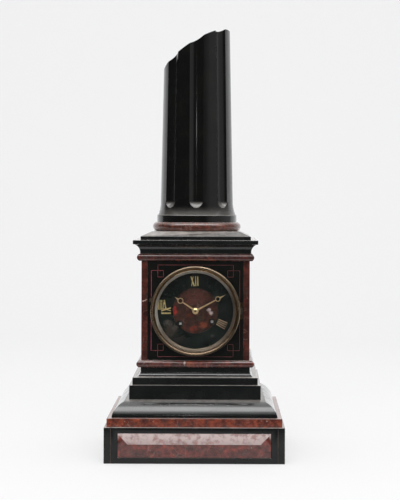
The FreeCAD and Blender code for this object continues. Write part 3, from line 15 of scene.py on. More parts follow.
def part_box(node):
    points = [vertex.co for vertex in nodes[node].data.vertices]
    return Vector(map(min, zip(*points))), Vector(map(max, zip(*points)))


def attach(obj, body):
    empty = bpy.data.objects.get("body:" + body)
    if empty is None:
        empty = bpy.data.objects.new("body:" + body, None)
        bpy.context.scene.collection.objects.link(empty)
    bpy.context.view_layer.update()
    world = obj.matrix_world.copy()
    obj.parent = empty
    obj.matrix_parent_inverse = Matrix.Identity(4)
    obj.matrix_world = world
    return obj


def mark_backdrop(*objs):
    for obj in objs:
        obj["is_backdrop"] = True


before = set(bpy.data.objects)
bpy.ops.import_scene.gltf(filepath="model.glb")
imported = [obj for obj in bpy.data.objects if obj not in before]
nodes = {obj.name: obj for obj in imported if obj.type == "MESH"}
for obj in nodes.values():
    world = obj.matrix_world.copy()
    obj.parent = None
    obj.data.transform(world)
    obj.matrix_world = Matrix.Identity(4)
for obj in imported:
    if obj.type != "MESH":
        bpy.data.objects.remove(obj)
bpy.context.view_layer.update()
scene = bpy.context.scene
scene.view_settings.view_transform = "Standard"
MM = 0.001

# %% [markdown]
# ## The camera
#
# The photographer stood level with the foot of the column and a little to the right of it. A long
# lens from about 1.6 m keeps the mouldings almost straight. The picture was cropped afterwards, which
# a small lens shift repeats without tilting the camera, so that upright lines stay upright.

# %% Camera
camera = bpy.data.objects.new("studio_camera", bpy.data.cameras.new("studio_camera"))
scene.collection.objects.link(camera)
camera.location = (0.0327, -1.6362, 0.33215)
camera.rotation_euler = (math.pi / 2, -0.0037, 0)
camera.data.sensor_width = 36
camera.data.lens = 86.3
camera.data.shift_x = -0.0411
camera.data.shift_y = -0.0879
scene.camera = camera
print("camera stands", round(-camera.location.y, 3), "m in front of the column")

# %% [markdown]
# ## Node helpers
#
# A material is a small graph. Placing each node by hand takes many lines, so small helpers do the
# routine part: they add a node, fill its sockets, and do sums and blends with what comes out of others.

# %% Helpers for node graphs
def fill(tree, item, inputs):
    """Link sockets to a node's inputs, and write plain values into them."""
    for name, value in inputs.items():
        if isinstance(value, bpy.types.NodeSocket):
            tree.links.new(value, item.inputs[name])
        else:
            item.inputs[name].default_value = value


def add(tree, kind, inputs=None, **settings):
    """Add a node, set its options and fill its inputs."""
    item = tree.nodes.new(kind)
    for name, value in settings.items():
        setattr(item, name, value)
    fill(tree, item, inputs or {})
    return item


def maths(tree, operation, a, b=0.0, clamp=False):
    return add(tree, "ShaderNodeMath", {0: a, 1: b}, operation=operation, use_clamp=clamp).outputs[0]


def times(tree, a, b):
    return maths(tree, "MULTIPLY", a, b)


def ramp(tree, value, low, high, to_low=0.0, to_high=1.0):
    inputs = {"Value": value, "From Min": low, "From Max": high, "To Min": to_low, "To Max": to_high}
    return add(tree, "ShaderNodeMapRange", inputs, interpolation_type="SMOOTHSTEP").outputs["Result"]


def blend(tree, factor, first, second):
    item = tree.nodes.new("ShaderNodeMix")
    item.data_type = "RGBA"
    item.clamp_factor = True
    fill(tree, item, {0: factor, 6: first, 7: second})
    return item.outputs[2]


def paint(red, green, blue):
    return (red, green, blue, 1.0)


def axes_of(tree, vector):
    """The X, Y and Z sockets of a vector socket."""
    return add(tree, "ShaderNodeSeparateXYZ", {0: vector}).outputs


def rise_of(tree):
    """How far the surface looks up: the Z of its normal."""
    return axes_of(tree, add(tree, "ShaderNodeNewGeometry").outputs["Normal"])["Z"]

# %% [markdown]
# An effect that several finishes share is built once, as a node group with named sockets. Each
# material then places the group with its own values, so a better scratch improves every piece.

# %% Helpers for groups
def new_group(name, inputs, outputs):
    """Start a node group. Sockets are given as name: (type, default)."""
    tree = bpy.data.node_groups.new(name, "ShaderNodeTree")
    for label, (kind, default) in inputs.items():
        socket = tree.interface.new_socket(label, in_out="INPUT", socket_type="NodeSocket" + kind)
        if default is not None:
            socket.default_value = default
    for label, kind in outputs.items():
        tree.interface.new_socket(label, in_out="OUTPUT", socket_type="NodeSocket" + kind)
    return tree, tree.nodes.new("NodeGroupInput").outputs, tree.nodes.new("NodeGroupOutput")


def place(tree, group, inputs):
    """Use a node group in a material with its own values."""
    item = tree.nodes.new("ShaderNodeGroup")
    item.node_tree = group
    fill(tree, item, inputs)
    return item.outputs

# %% [markdown]
# ## Floor and backdrop
#
# Product photographers lay the object on a paper sweep: a floor that curves up into a wall, so that
# no horizon shows. It is drawn here as one strip of faces along a rounded corner. The camera and
# reflections see nearly pure paper white, and a share of real shading is kept for the soft shadow.
# A camera that walks round to the back looks through the paper's rear side.

# %% Paper sweep
def paper_sweep(name, half_width, front, back, radius, top, steps=24):
    bm = bmesh.new()
    path = [(front, 0.0), (back - radius, 0.0)]
    for step in range(1, steps + 1):
        angle = math.pi / 2 * step / steps
        path.append((back - radius + radius * math.sin(angle), radius - radius * math.cos(angle)))
    path.append((back, top))
    rows = [[bm.verts.new((x, y, z)) for x in (-half_width, half_width)] for y, z in path]
    for low, high in zip(rows, rows[1:]):
        bm.faces.new((low[0], low[1], high[1], high[0])).smooth = True
    mesh = bpy.data.meshes.new(name)
    bm.to_mesh(mesh)
    bm.free()
    piece = bpy.data.objects.new(name, mesh)
    scene.collection.objects.link(piece)
    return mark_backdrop(piece) or piece


sweep = paper_sweep("paper_sweep", half_width=4.0, front=-0.31, back=2.2, radius=0.9, top=4.0)
paper = bpy.data.materials.new("paper")
paper.use_nodes = True
tree = paper.node_tree
tree.nodes.clear()
rays = add(tree, "ShaderNodeLightPath").outputs
seen = maths(tree, "MAXIMUM", rays["Is Camera Ray"], rays["Is Glossy Ray"])
seen = maths(tree, "MAXIMUM", seen, rays["Is Transmission Ray"])
matte = add(tree, "ShaderNodeBsdfDiffuse", {"Color": paint(0.90, 0.90, 0.90)})
glow = add(tree, "ShaderNodeEmission", {"Color": paint(0.985, 0.985, 0.99), "Strength": 1.12})
share = times(tree, seen, 0.5)
mixed = add(tree, "ShaderNodeMixShader", {0: share, 1: matte.outputs[0], 2: glow.outputs[0]})
from_behind = times(tree, add(tree, "ShaderNodeNewGeometry").outputs["Backfacing"],
                    rays["Is Camera Ray"])
unseen = add(tree, "ShaderNodeBsdfTransparent").outputs[0]
one_sided = add(tree, "ShaderNodeMixShader", {0: from_behind, 1: mixed.outputs[0], 2: unseen})
add(tree, "ShaderNodeOutputMaterial", {"Surface": one_sided.outputs[0]})
sweep.data.materials.append(paper)
print("paper sweep:", len(sweep.data.polygons), "faces")

# %% [markdown]
# ## Light
#
# Polished black stone has almost no colour of its own: what we see is the room in it. The room here
# is pale behind and above and dim behind the camera, as in a studio where the photographer stands in
# the dark. A soft bright strip high in front draws the pale band over the round moulding. It belongs
# to the room and not to a lamp, because the edge of a lamp shows as a hard line in the polish.

# %% Room
STRIP_DIRECTION = (0.0, -0.358, 0.934)
world = bpy.data.worlds.new("studio_room")
scene.world = world
world.use_nodes = True
tree = world.node_tree
tree.nodes.clear()
rays = add(tree, "ShaderNodeLightPath").outputs
direction = add(tree, "ShaderNodeTexCoord").outputs["Generated"]
axes = axes_of(tree, direction)
# A pale wall behind the clock, a little to the right, a bright ceiling and a dim window on the right.
askew = maths(tree, "ADD", axes["Y"], times(tree, axes["X"], 0.14))
behind = ramp(tree, askew, 0.36, 0.86, 0.06, 0.95)
above = ramp(tree, axes["Z"], 0.35, 0.95, 0.0, 2.3)
window = times(tree, ramp(tree, axes["X"], 0.30, 0.75), 0.36)
room = maths(tree, "MAXIMUM", maths(tree, "MAXIMUM", behind, above), window)
# The strip runs along X at one height, so its brightness follows the direction without its X part.
flat = add(tree, "ShaderNodeCombineXYZ", {"Y": axes["Y"], "Z": axes["Z"]}).outputs[0]
flat = add(tree, "ShaderNodeVectorMath", {0: flat}, operation="NORMALIZE").outputs[0]
toward = add(tree, "ShaderNodeVectorMath", {0: flat, 1: STRIP_DIRECTION},
             operation="DOT_PRODUCT").outputs["Value"]
ends = ramp(tree, maths(tree, "ABSOLUTE", axes["X"]), 0.95, 0.6)
strip = times(tree, ramp(tree, toward, 0.945, 0.995, 0.0, 4.7), ends)
room = maths(tree, "ADD", room, strip)
mirrored = maths(tree, "MAXIMUM", rays["Is Glossy Ray"], rays["Is Transmission Ray"])
inner = blend(tree, mirrored, paint(0.55, 0.55, 0.56), room)
shown = blend(tree, rays["Is Camera Ray"], inner, paint(0.93, 0.93, 0.94))
surface = add(tree, "ShaderNodeBackground", {"Color": shown, "Strength": 1.0})
add(tree, "ShaderNodeOutputWorld", {"Surface": surface.outputs[0]})
print("room nodes:", len(tree.nodes))

# %% [markdown]
# Two softboxes only add even light, so they are hidden from reflections. A small lamp near the lens
# is seen in the polish: it gives the fine highlight in the middle flute and on the dome of the hands.

# %% Lamps
def softbox(name, place_at, aim_at, width, height, radiance):
    """A rectangular lamp whose face shines with the given radiance, as seen in a mirror."""
    data = bpy.data.lights.new(name, "AREA")
    data.shape = "RECTANGLE"
    data.size = width
    data.size_y = height
    data.energy = radiance * math.pi * width * height
    lamp = bpy.data.objects.new(name, data)
    scene.collection.objects.link(lamp)
    lamp.location = place_at
    lamp.rotation_euler = (Vector(aim_at) - Vector(place_at)).to_track_quat("-Z", "Y").to_euler()
    print(name, "shines with", round(data.energy, 2), "W")
    return lamp


for diffuse_lamp in (
        softbox("front_softbox", (0.1, -1.75, 1.78), (0, 0, 0.12), width=2.4, height=1.3, radiance=2.2),
        softbox("top_softbox", (0, 0.1, 1.9), (0, 0, 0.3), width=1.4, height=1.2, radiance=1.4)):
    diffuse_lamp.visible_glossy = False
softbox("lens_lamp", (-0.06, -1.95, 0.64), (0, 0, 0.25), width=0.08, height=0.05, radiance=20.0)

# %% [markdown]
# ## Shared surface effects
#
# Each effect that several finishes use is a node group. All of them read the position on the piece
# in metres, because a CAD node keeps its place in its mesh. That gives every pattern its real size.

# %% Cloud pattern
cloud, given, result = new_group(
    "cloud_pattern",
    {"Position": ("Vector", None), "Scale": ("Float", 100.0), "Detail": ("Float", 4.0),
     "Low": ("Float", 0.35), "High": ("Float", 0.65), "Seed": ("Float", 0.0)},
    {"Mask": "Float"})
noise = add(cloud, "ShaderNodeTexNoise", {
    "Vector": given["Position"], "W": given["Seed"], "Scale": given["Scale"],
    "Detail": given["Detail"], "Roughness": 0.6}, noise_dimensions="4D")
spread = add(cloud, "ShaderNodeMapRange", {
    "Value": noise.outputs["Fac"], "From Min": given["Low"], "From Max": given["High"]},
    interpolation_type="SMOOTHSTEP")
fill(cloud, result, {"Mask": spread.outputs["Result"]})


def cloud_mask(tree, position, scale, detail, low, high, seed):
    return place(tree, cloud, {"Position": position, "Scale": scale, "Detail": detail, "Low": low,
                               "High": high, "Seed": seed})["Mask"]

# %% [markdown]
# Calcite veins heal cracks in the marble, so they run as thin broken lines between larger areas. The
# borders of Voronoi cells have that layout. Bending the coordinates with noise first takes away the
# straight look of the cells, and a second noise breaks the lines up.

# %% Vein pattern
veins, given, result = new_group(
    "vein_pattern",
    {"Position": ("Vector", None), "Scale": ("Float", 40.0), "Width": ("Float", 0.02),
     "Warp": ("Float", 0.012), "Broken": ("Float", 0.5), "Seed": ("Float", 0.0)},
    {"Mask": "Float"})
wobble = add(veins, "ShaderNodeTexNoise", {
    "Vector": given["Position"], "W": given["Seed"], "Scale": 90.0, "Detail": 3.0},
    noise_dimensions="4D")
centred = add(veins, "ShaderNodeVectorMath", {0: wobble.outputs["Color"], 1: (0.5, 0.5, 0.5)},
              operation="SUBTRACT")
moved = add(veins, "ShaderNodeVectorMath", {0: centred.outputs[0], "Scale": given["Warp"]},
            operation="SCALE")
bent = add(veins, "ShaderNodeVectorMath", {0: given["Position"], 1: moved.outputs[0]})
cells = add(veins, "ShaderNodeTexVoronoi", {
    "Vector": bent.outputs[0], "W": given["Seed"], "Scale": given["Scale"]},
    voronoi_dimensions="4D", feature="DISTANCE_TO_EDGE")
line = add(veins, "ShaderNodeMapRange", {
    "Value": cells.outputs["Distance"], "From Min": given["Width"], "From Max": 0.0},
    interpolation_type="SMOOTHSTEP")
gaps = place(veins, cloud, {
    "Position": given["Position"], "Scale": 55.0, "Low": given["Broken"],
    "High": maths(veins, "ADD", given["Broken"], 0.12), "Seed": given["Seed"]})
fill(veins, result, {"Mask": times(veins, line.outputs[0], gaps["Mask"])})

# %% [markdown]
# Small pale fossils and grains lie scattered in the marble. They are the middles of Voronoi cells,
# and a random number per cell decides which cells have one.

# %% Speck pattern
specks, given, result = new_group(
    "speck_pattern",
    {"Position": ("Vector", None), "Scale": ("Float", 160.0), "Size": ("Float", 0.2),
     "Amount": ("Float", 0.1), "Seed": ("Float", 0.0)},
    {"Mask": "Float"})
cells = add(specks, "ShaderNodeTexVoronoi", {
    "Vector": given["Position"], "W": given["Seed"], "Scale": given["Scale"]},
    voronoi_dimensions="4D")
grain = add(specks, "ShaderNodeMapRange", {
    "Value": cells.outputs["Distance"], "From Min": given["Size"],
    "From Max": times(specks, given["Size"], 0.4)})
chosen = add(specks, "ShaderNodeSeparateColor", {0: cells.outputs["Color"]})
rare = maths(specks, "LESS_THAN", chosen.outputs[0], given["Amount"])
fill(specks, result, {"Mask": times(specks, grain.outputs[0], rare)})

# %% [markdown]
# Some marks sit at one known place: a pale inclusion in the dial disc, a vein across a torus. A placed
# blotch is a soft ellipsoid round that place with a ragged border.

# %% Placed blotch
blotch, given, result = new_group(
    "placed_blotch",
    {"Position": ("Vector", None), "Centre": ("Vector", (0, 0, 0)), "Reach": ("Vector", (1, 1, 1)),
     "Ragged": ("Float", 0.5), "Soft": ("Float", 0.3), "Seed": ("Float", 0.0)},
    {"Mask": "Float"})
offset = add(blotch, "ShaderNodeVectorMath", {0: given["Position"], 1: given["Centre"]},
             operation="SUBTRACT")
shares = add(blotch, "ShaderNodeVectorMath", {0: offset.outputs[0], 1: given["Reach"]},
             operation="DIVIDE")
far = add(blotch, "ShaderNodeVectorMath", {0: shares.outputs[0]}, operation="LENGTH")
frayed = add(blotch, "ShaderNodeTexNoise", {
    "Vector": given["Position"], "W": given["Seed"], "Scale": 420.0, "Detail": 3.0},
    noise_dimensions="4D")
fray = times(blotch, maths(blotch, "SUBTRACT", frayed.outputs["Fac"], 0.5), given["Ragged"])
border = maths(blotch, "ADD", far.outputs["Value"], fray)
inside = add(blotch, "ShaderNodeMapRange", {
    "Value": border, "From Min": 1.0, "From Max": maths(blotch, "SUBTRACT", 1.0, given["Soft"])},
    interpolation_type="SMOOTHSTEP")
fill(blotch, result, {"Mask": inside.outputs[0]})


def add_marks(tree, colour, position, marks, ragged, soft=0.3, seed=0.0, mottle=None):
    """Lay marks over a colour, each given as centre and reach in millimetres, tint and strength."""
    for centre, reach, tint, strength in marks:
        mask = place(tree, blotch, {"Position": position, "Centre": [v * MM for v in centre],
                                    "Reach": [v * MM for v in reach], "Ragged": ragged, "Soft": soft,
                                    "Seed": seed})["Mask"]
        if mottle:
            mask = times(tree, mask, mottle)
        colour = blend(tree, times(tree, mask, strength), colour, paint(*tint))
    return colour

# %% [markdown]
# Polish is never perfect. A century of dusting leaves fine straight scratches that catch the light
# and small dull clouds. The group gives a roughness and a height: noise squeezed along two
# directions for the scratches, and a low cloud for the dull patches.

# %% Worn polish
worn, given, result = new_group(
    "worn_polish",
    {"Position": ("Vector", None), "Smoothest": ("Float", 0.12), "Dullest": ("Float", 0.32),
     "Scratches": ("Float", 0.4), "Seed": ("Float", 0.0)},
    {"Roughness": "Float", "Height": "Float"})
dull = cloud_mask(worn, given["Position"], scale=45.0, detail=6.0, low=0.38, high=0.68,
                  seed=given["Seed"])
lines = None
for turned_by, squeeze in (((0.3, 0.1, 0.0), (260.0, 1400.0, 2600.0)),
                           ((0.0, 0.9, 0.4), (2200.0, 500.0, 190.0))):
    squeezed = add(worn, "ShaderNodeMapping", {
        "Vector": given["Position"], "Rotation": turned_by, "Scale": squeeze})
    fibres = add(worn, "ShaderNodeTexNoise", {
        "Vector": squeezed.outputs[0], "Scale": 1.0, "Detail": 2.0})
    sharp = ramp(worn, fibres.outputs["Fac"], 0.66, 0.74)
    lines = sharp if lines is None else maths(worn, "MAXIMUM", lines, sharp)
lines = times(worn, lines, given["Scratches"])
base = add(worn, "ShaderNodeMapRange", {
    "Value": dull, "To Min": given["Smoothest"], "To Max": given["Dullest"]})
fill(worn, result, {"Roughness": maths(worn, "ADD", base.outputs[0], times(worn, lines, 0.18)),
                    "Height": times(worn, lines, -1.0)})

# %% [markdown]
# Dust settles on whatever looks up and gathers unevenly. The normal's upward part says where, and a
# cloud breaks it up.

# %% Settled dust
dust, given, result = new_group(
    "settled_dust",
    {"Position": ("Vector", None), "Amount": ("Float", 0.3), "Seed": ("Float", 0.0)},
    {"Mask": "Float"})
upward = ramp(dust, rise_of(dust), 0.86, 0.99)
patchy = cloud_mask(dust, given["Position"], scale=120.0, detail=8.0, low=0.25, high=0.75,
                    seed=given["Seed"])
thick = ramp(dust, patchy, 0.0, 1.0, 0.62, 1.0)
fill(dust, result, {"Mask": times(dust, times(dust, upward, thick), given["Amount"])})

# %% [markdown]
# Edges lose their polish first, and on slate the worn arris turns grey. Where a rounded copy of the
# normal differs from the true one there is an edge, and noise makes the wear come and go.

# %% Worn edges
edges, given, result = new_group(
    "worn_edges",
    {"Position": ("Vector", None), "Reach": ("Float", 0.0008), "Low": ("Float", 0.45),
     "Seed": ("Float", 0.0)},
    {"Mask": "Float"})
rounded = add(edges, "ShaderNodeBevel", {"Radius": given["Reach"]}, samples=4)
true_normal = add(edges, "ShaderNodeNewGeometry").outputs["True Normal"]
same = add(edges, "ShaderNodeVectorMath", {0: rounded.outputs[0], 1: true_normal},
           operation="DOT_PRODUCT")
turned = ramp(edges, same.outputs["Value"], 0.99, 0.86)
chips = cloud_mask(edges, given["Position"], scale=260.0, detail=5.0, low=given["Low"],
                   high=maths(edges, "ADD", given["Low"], 0.2), seed=given["Seed"])
fill(edges, result, {"Mask": times(edges, turned, chips)})
print("shared effects:", [group.name for group in bpy.data.node_groups])

# %% [markdown]
# ## Materials
#
# Every finish starts alike: a shader, the material's output, and the position on the piece that the
# shared effects read. Relief that is finer than the mesh, such as a scratch, goes in as a bump.

# %% Start of a material
def start_material(name):
    material = bpy.data.materials.new(name)
    material.use_nodes = True
    tree = material.node_tree
    tree.nodes.clear()
    position = add(tree, "ShaderNodeTexCoord").outputs["Object"]
    shader = add(tree, "ShaderNodeBsdfPrincipled")
    output = add(tree, "ShaderNodeOutputMaterial", {"Surface": shader.outputs[0]})
    return material, tree, position, shader, output


def bump(tree, height, distance, strength=1.0):
    return add(tree, "ShaderNodeBump", {"Height": height, "Distance": distance,
                                        "Strength": strength}).outputs[0]

# %% [markdown]
# ## Black slate
#
# The black stone is a dense slate polished with oil. Its own colour is nearly nothing, a shade warmer
# or greener from block to block, with faint grey clouds. The picture comes from the mirror layer, so
# the worn polish matters more than the colour. Ledges carry a film of dust and worn edges turn grey.
# A cleaning hand reaches the round moulding low on the clock, so less dust is left there. The flare at
# the foot of the column has lost its oil and is rougher where it looks up, and there it is painted
# paler, a painted sheen for the soft highlight of the light from above.

# %% Slate
def slate(name, deep, pale, seed, smoothest=0.13, dullest=0.30, dusty=0.25, low=0.45, gloss=1.0,
          wiped_under=None, dull_sheen_under=None):
    """Under the height wiped_under less dust is left. Under the flare's height, what looks up is rougher
    and has a pale painted sheen for the light from above.
    """
    material, tree, position, shader, output = start_material(name)
    height = axes_of(tree, position)["Z"]
    clouds = cloud_mask(tree, position, scale=38.0, detail=7.0, low=0.4, high=0.75, seed=seed)
    colour = blend(tree, clouds, deep, pale)
    edge = place(tree, edges, {"Position": position, "Seed": seed, "Low": low})["Mask"]
    colour = blend(tree, times(tree, edge, 0.55), colour, paint(0.16, 0.16, 0.15))
    if wiped_under:
        dusty = ramp(tree, height, wiped_under, wiped_under + 0.004, 0.42 * dusty, dusty)
    film = place(tree, dust, {"Position": position, "Amount": dusty, "Seed": seed})["Mask"]
    colour = blend(tree, film, colour, paint(0.70, 0.65, 0.60))
    polish = place(tree, worn, {"Position": position, "Smoothest": smoothest, "Dullest": dullest,
                                "Scratches": 0.4, "Seed": seed})
    rough = maths(tree, "ADD", polish["Roughness"], times(tree, film, 0.5))
    if dull_sheen_under:
        # Painted sheen: what looks up on the flare is painted pale for the soft highlight from above,
        # and made rougher.
        matt_and_sheen = times(tree, ramp(tree, rise_of(tree), 0.08, 0.40),
                     ramp(tree, height, dull_sheen_under, dull_sheen_under - 0.006))
        colour = blend(tree, matt_and_sheen, colour, paint(0.085, 0.078, 0.070))
        rough = maths(tree, "ADD", rough, times(tree, matt_and_sheen, 0.22))
    rough = maths(tree, "ADD", rough, times(tree, edge, 0.2), clamp=True)
    fill(tree, shader, {"Base Color": colour, "Roughness": rough,
                        "Normal": bump(tree, polish["Height"], 0.00002, 0.5), "IOR": 1.30,
                        "Coat Weight": gloss, "Coat Roughness": 0.12, "Coat IOR": 1.45})
    return material

# %% [markdown]
# The blocks came from different parts of the quarry. The base has the least gloss, because it was
# handled most, and the column is the blackest.

# %% Slate blocks
slate_base = slate("slate_base", paint(0.004, 0.0045, 0.005), paint(0.008, 0.009, 0.009),
                   seed=1.0, dusty=0.95, gloss=0.35)
slate_mould = slate("slate_mouldings", paint(0.007, 0.0078, 0.0078), paint(0.013, 0.014, 0.014),
                    seed=3.0, dullest=0.34, dusty=0.95, wiped_under=0.088)
slate_case = slate("slate_case", paint(0.005, 0.006, 0.005), paint(0.009, 0.010, 0.008), seed=5.0)
# The column's flare gets a pale painted sheen below the height given here.
slate_column = slate("slate_column", paint(0.003, 0.003, 0.003), paint(0.006, 0.006, 0.005),
                     seed=7.0, smoothest=0.16, dullest=0.28, dusty=0.6, low=0.6, dull_sheen_under=0.352)
print("materials so far:", len(bpy.data.materials))

# %% [markdown]
# ## Red marble
#
# The red stone is a fossil marble: a brown-red mud full of brick red and orange patches, grey clouds,
# pale veins and grains. One material could serve every piece, but each was cut from another block,
# so a helper builds one per piece from the same groups, with its own seed and mixture. Known marks
# of the real piece are placed blotches. The upper slope of the relief panel is pale with light from
# above, and reflection alone is too weak for that, so this piece gets a painted pale sheen, broken up
# by clouds and a little weaker low down, on everything that looks up.

# %% Marble
def marble(name, seed, ground, patch, grey, patch_low=0.50, vein_strength=0.5, speck_amount=0.05,
           marks=(), dusty=0.6, scale=1.0, painted_sheen=None):
    material, tree, position, shader, output = start_material(name)
    mud = cloud_mask(tree, position, scale=170.0 * scale, detail=8.0, low=0.3, high=0.7, seed=seed)
    darker = paint(*(0.45 * channel for channel in ground[:3]))
    colour = blend(tree, mud, darker, ground)
    patches = cloud_mask(tree, position, scale=120.0 * scale, detail=8.0, low=patch_low - 0.06,
                         high=patch_low + 0.16, seed=seed + 11.0)
    colour = blend(tree, times(tree, patches, 0.85), colour, patch)
    bright = cloud_mask(tree, position, scale=260.0 * scale, detail=6.0, low=0.52, high=0.74,
                        seed=seed + 17.0)
    brighter = paint(*(min(1.0, 1.7 * channel) for channel in patch[:3]))
    inner = times(tree, bright, patches)
    colour = blend(tree, times(tree, inner, 0.7), colour, brighter)
    greys = cloud_mask(tree, position, scale=105.0 * scale, detail=8.0, low=0.50, high=0.70,
                       seed=seed + 23.0)
    colour = blend(tree, times(tree, greys, 0.7), colour, grey)
    cracks = place(tree, veins, {"Position": position, "Scale": 75.0 * scale, "Width": 0.03,
                                 "Broken": 0.50, "Seed": seed + 31.0})
    colour = blend(tree, times(tree, cracks["Mask"], vein_strength), colour, paint(0.30, 0.19, 0.16))
    dark_cracks = place(tree, veins, {"Position": position, "Scale": 130.0 * scale, "Width": 0.05,
                                      "Broken": 0.45, "Seed": seed + 37.0})
    colour = blend(tree, times(tree, dark_cracks["Mask"], 0.6), colour, paint(0.02, 0.008, 0.007))
    pits = place(tree, specks, {"Position": position, "Scale": 420.0 * scale, "Size": 0.45,
                                "Amount": 0.16, "Seed": seed + 43.0})
    colour = blend(tree, times(tree, pits["Mask"], 0.6), colour, paint(0.03, 0.012, 0.010))
    grains = place(tree, specks, {"Position": position, "Scale": 300.0 * scale, "Size": 0.30,
                                  "Amount": speck_amount, "Seed": seed + 41.0})
    colour = blend(tree, times(tree, grains["Mask"], 0.8), colour, paint(0.48, 0.40, 0.36))
    mottle = ramp(tree, mud, 0.1, 0.8, 0.45, 1.0)
    colour = add_marks(tree, colour, position, marks, ragged=1.4, soft=0.6, seed=seed, mottle=mottle)
    # Painted sheen: a pale colour on what looks up stands in for the light from above reflected in the
    # polish.
    if painted_sheen:
        cloudy = ramp(tree, blend(tree, 0.6, patches, mud), 0.2, 0.8, 0.98, 0.42)
        sheen_mask = times(tree, ramp(tree, rise_of(tree), 0.15, 0.30), cloudy)
        sheen_mask = times(tree, sheen_mask, ramp(tree, axes_of(tree, position)["Z"], 0.024, 0.037, 0.72, 1.0))
        colour = blend(tree, sheen_mask, colour, painted_sheen)
    film = place(tree, dust, {"Position": position, "Amount": dusty, "Seed": seed})["Mask"]
    colour = blend(tree, film, colour, paint(0.66, 0.53, 0.49))
    polish = place(tree, worn, {"Position": position, "Smoothest": 0.14, "Dullest": 0.30,
                                "Scratches": 0.3, "Seed": seed})
    rough = maths(tree, "ADD", polish["Roughness"], times(tree, film, 0.5), clamp=True)
    fill(tree, shader, {"Base Color": colour, "Roughness": rough,
                        "Normal": bump(tree, polish["Height"], 0.00002, 0.4), "IOR": 1.35,
                        "Coat Weight": 0.9, "Coat Roughness": 0.14, "Coat IOR": 1.45})
    return material

# %% [markdown]
# Each block gets its own seed, mud, brick and grey. The marks that can be found again on the real
# clock are listed with the block that carries them: a pale vein on the left cheek and on the lower
# torus, and pale and brick red inclusions in the dial disc.

# %% Marble blocks
RED_MUD = paint(0.085, 0.030, 0.024)
BRICK = paint(0.22, 0.045, 0.028)
ASH = paint(0.075, 0.052, 0.045)
marble_band = marble("marble_band", 2.0, paint(0.14, 0.036, 0.025), paint(0.30, 0.062, 0.030), ASH,
                     patch_low=0.46)
# The panel's pale colour for what looks up is a painted sheen.
marble_panel = marble("marble_panel", 9.0, paint(0.13, 0.036, 0.030), paint(0.26, 0.05, 0.035),
                      paint(0.10, 0.066, 0.058), patch_low=0.50, speck_amount=0.10,
                      painted_sheen=paint(0.64, 0.52, 0.50))
marble_lower = marble("marble_lower_torus", 14.0, RED_MUD, BRICK, ASH, marks=(
    ((-14.0, -54.0, 124.5), (1.6, 6.0, 4.5), (0.62, 0.50, 0.44), 0.9),
    ((-7.5, -54.0, 123.0), (5.5, 8.0, 5.5), (0.34, 0.085, 0.035), 0.7)))
marble_strips = marble("marble_cheeks", 21.0, paint(0.080, 0.024, 0.018), paint(0.15, 0.032, 0.022),
                       paint(0.05, 0.032, 0.028), patch_low=0.52, vein_strength=0.35, scale=0.8, marks=(
    ((-69.6, -49.0, 205.9), (2.3, 6.0, 0.9), (0.60, 0.44, 0.38), 0.9),
    ((-67.2, -49.0, 206.6), (2.2, 6.0, 0.9), (0.60, 0.44, 0.38), 0.9),
    ((-65.2, -49.0, 208.0), (1.7, 6.0, 1.0), (0.46, 0.32, 0.28), 0.8)))
marble_upper = marble("marble_upper_torus", 27.0, paint(0.075, 0.024, 0.020), paint(0.17, 0.034, 0.024),
                      ASH, patch_low=0.55, vein_strength=0.35)
marble_column = marble("marble_column_torus", 33.0, paint(0.12, 0.040, 0.028), paint(0.24, 0.062, 0.035),
                       paint(0.12, 0.085, 0.070), patch_low=0.50)
marble_dial = marble("marble_dial_disc", 40.0, paint(0.074, 0.032, 0.023), paint(0.13, 0.036, 0.022),
                     paint(0.045, 0.036, 0.030), patch_low=0.55, dusty=0.0, speck_amount=0.02, marks=(
    ((17.6, -47.4, 194.3), (3.6, 3.0, 3.0), (0.62, 0.50, 0.46), 1.0),
    ((20.6, -47.4, 190.4), (3.2, 3.0, 3.4), (0.55, 0.44, 0.41), 1.0),
    ((10.0, -47.4, 174.5), (6.5, 3.0, 6.0), (0.24, 0.055, 0.025), 0.9),
    ((-27.0, -47.4, 193.5), (3.4, 3.0, 7.5), (0.42, 0.035, 0.028), 1.0),
    ((-3.0, -47.4, 170.0), (7.0, 3.0, 5.0), (0.20, 0.035, 0.022), 0.9),
    ((-7.0, -47.4, 187.0), (7.0, 3.0, 5.0), (0.16, 0.040, 0.022), 0.8),
    ((6.0, -47.4, 183.0), (7.0, 3.0, 5.0), (0.055, 0.045, 0.032), 0.8),
    ((0.0, -47.4, 210.0), (22.0, 3.0, 13.0), (0.11, 0.036, 0.028), 0.8)))
print("materials so far:", len(bpy.data.materials))

# %% [markdown]
# ## Dial slate
#
# The chapter ring is slate with a softer polish, because the numerals were glued on. Where a numeral
# fell off, a faint grey ghost stays, and damp has left brown clouds at the lower left.

# %% Chapter ring
chapter, tree, position, shader, output = start_material("chapter_ring_slate")
clouds = cloud_mask(tree, position, scale=60.0, detail=7.0, low=0.42, high=0.7, seed=3.5)
colour = blend(tree, clouds, paint(0.004, 0.008, 0.006), paint(0.008, 0.013, 0.010))
colour = add_marks(tree, colour, position, (
    ((-33.0, -47.7, 167.0), (12.0, 3.0, 13.0), (0.060, 0.046, 0.036), 0.85),
    ((-36.0, -47.7, 177.0), (8.0, 3.0, 6.0), (0.085, 0.072, 0.062), 0.7),
    ((-28.0, -47.7, 171.0), (5.0, 3.0, 6.0), (0.095, 0.080, 0.068), 0.6),
    ((-22.0, -47.7, 156.0), (10.0, 3.0, 7.0), (0.026, 0.022, 0.020), 0.7),
    ((22.5, -47.7, 160.0), (3.5, 3.0, 2.5), (0.075, 0.070, 0.060), 0.5),
    ((30.0, -47.7, 214.0), (8.0, 3.0, 5.0), (0.020, 0.025, 0.019), 0.6)),
    ragged=1.6, soft=0.7, seed=2.0)
polish = place(tree, worn, {"Position": position, "Smoothest": 0.25, "Dullest": 0.45,
                            "Scratches": 0.5, "Seed": 4.0})
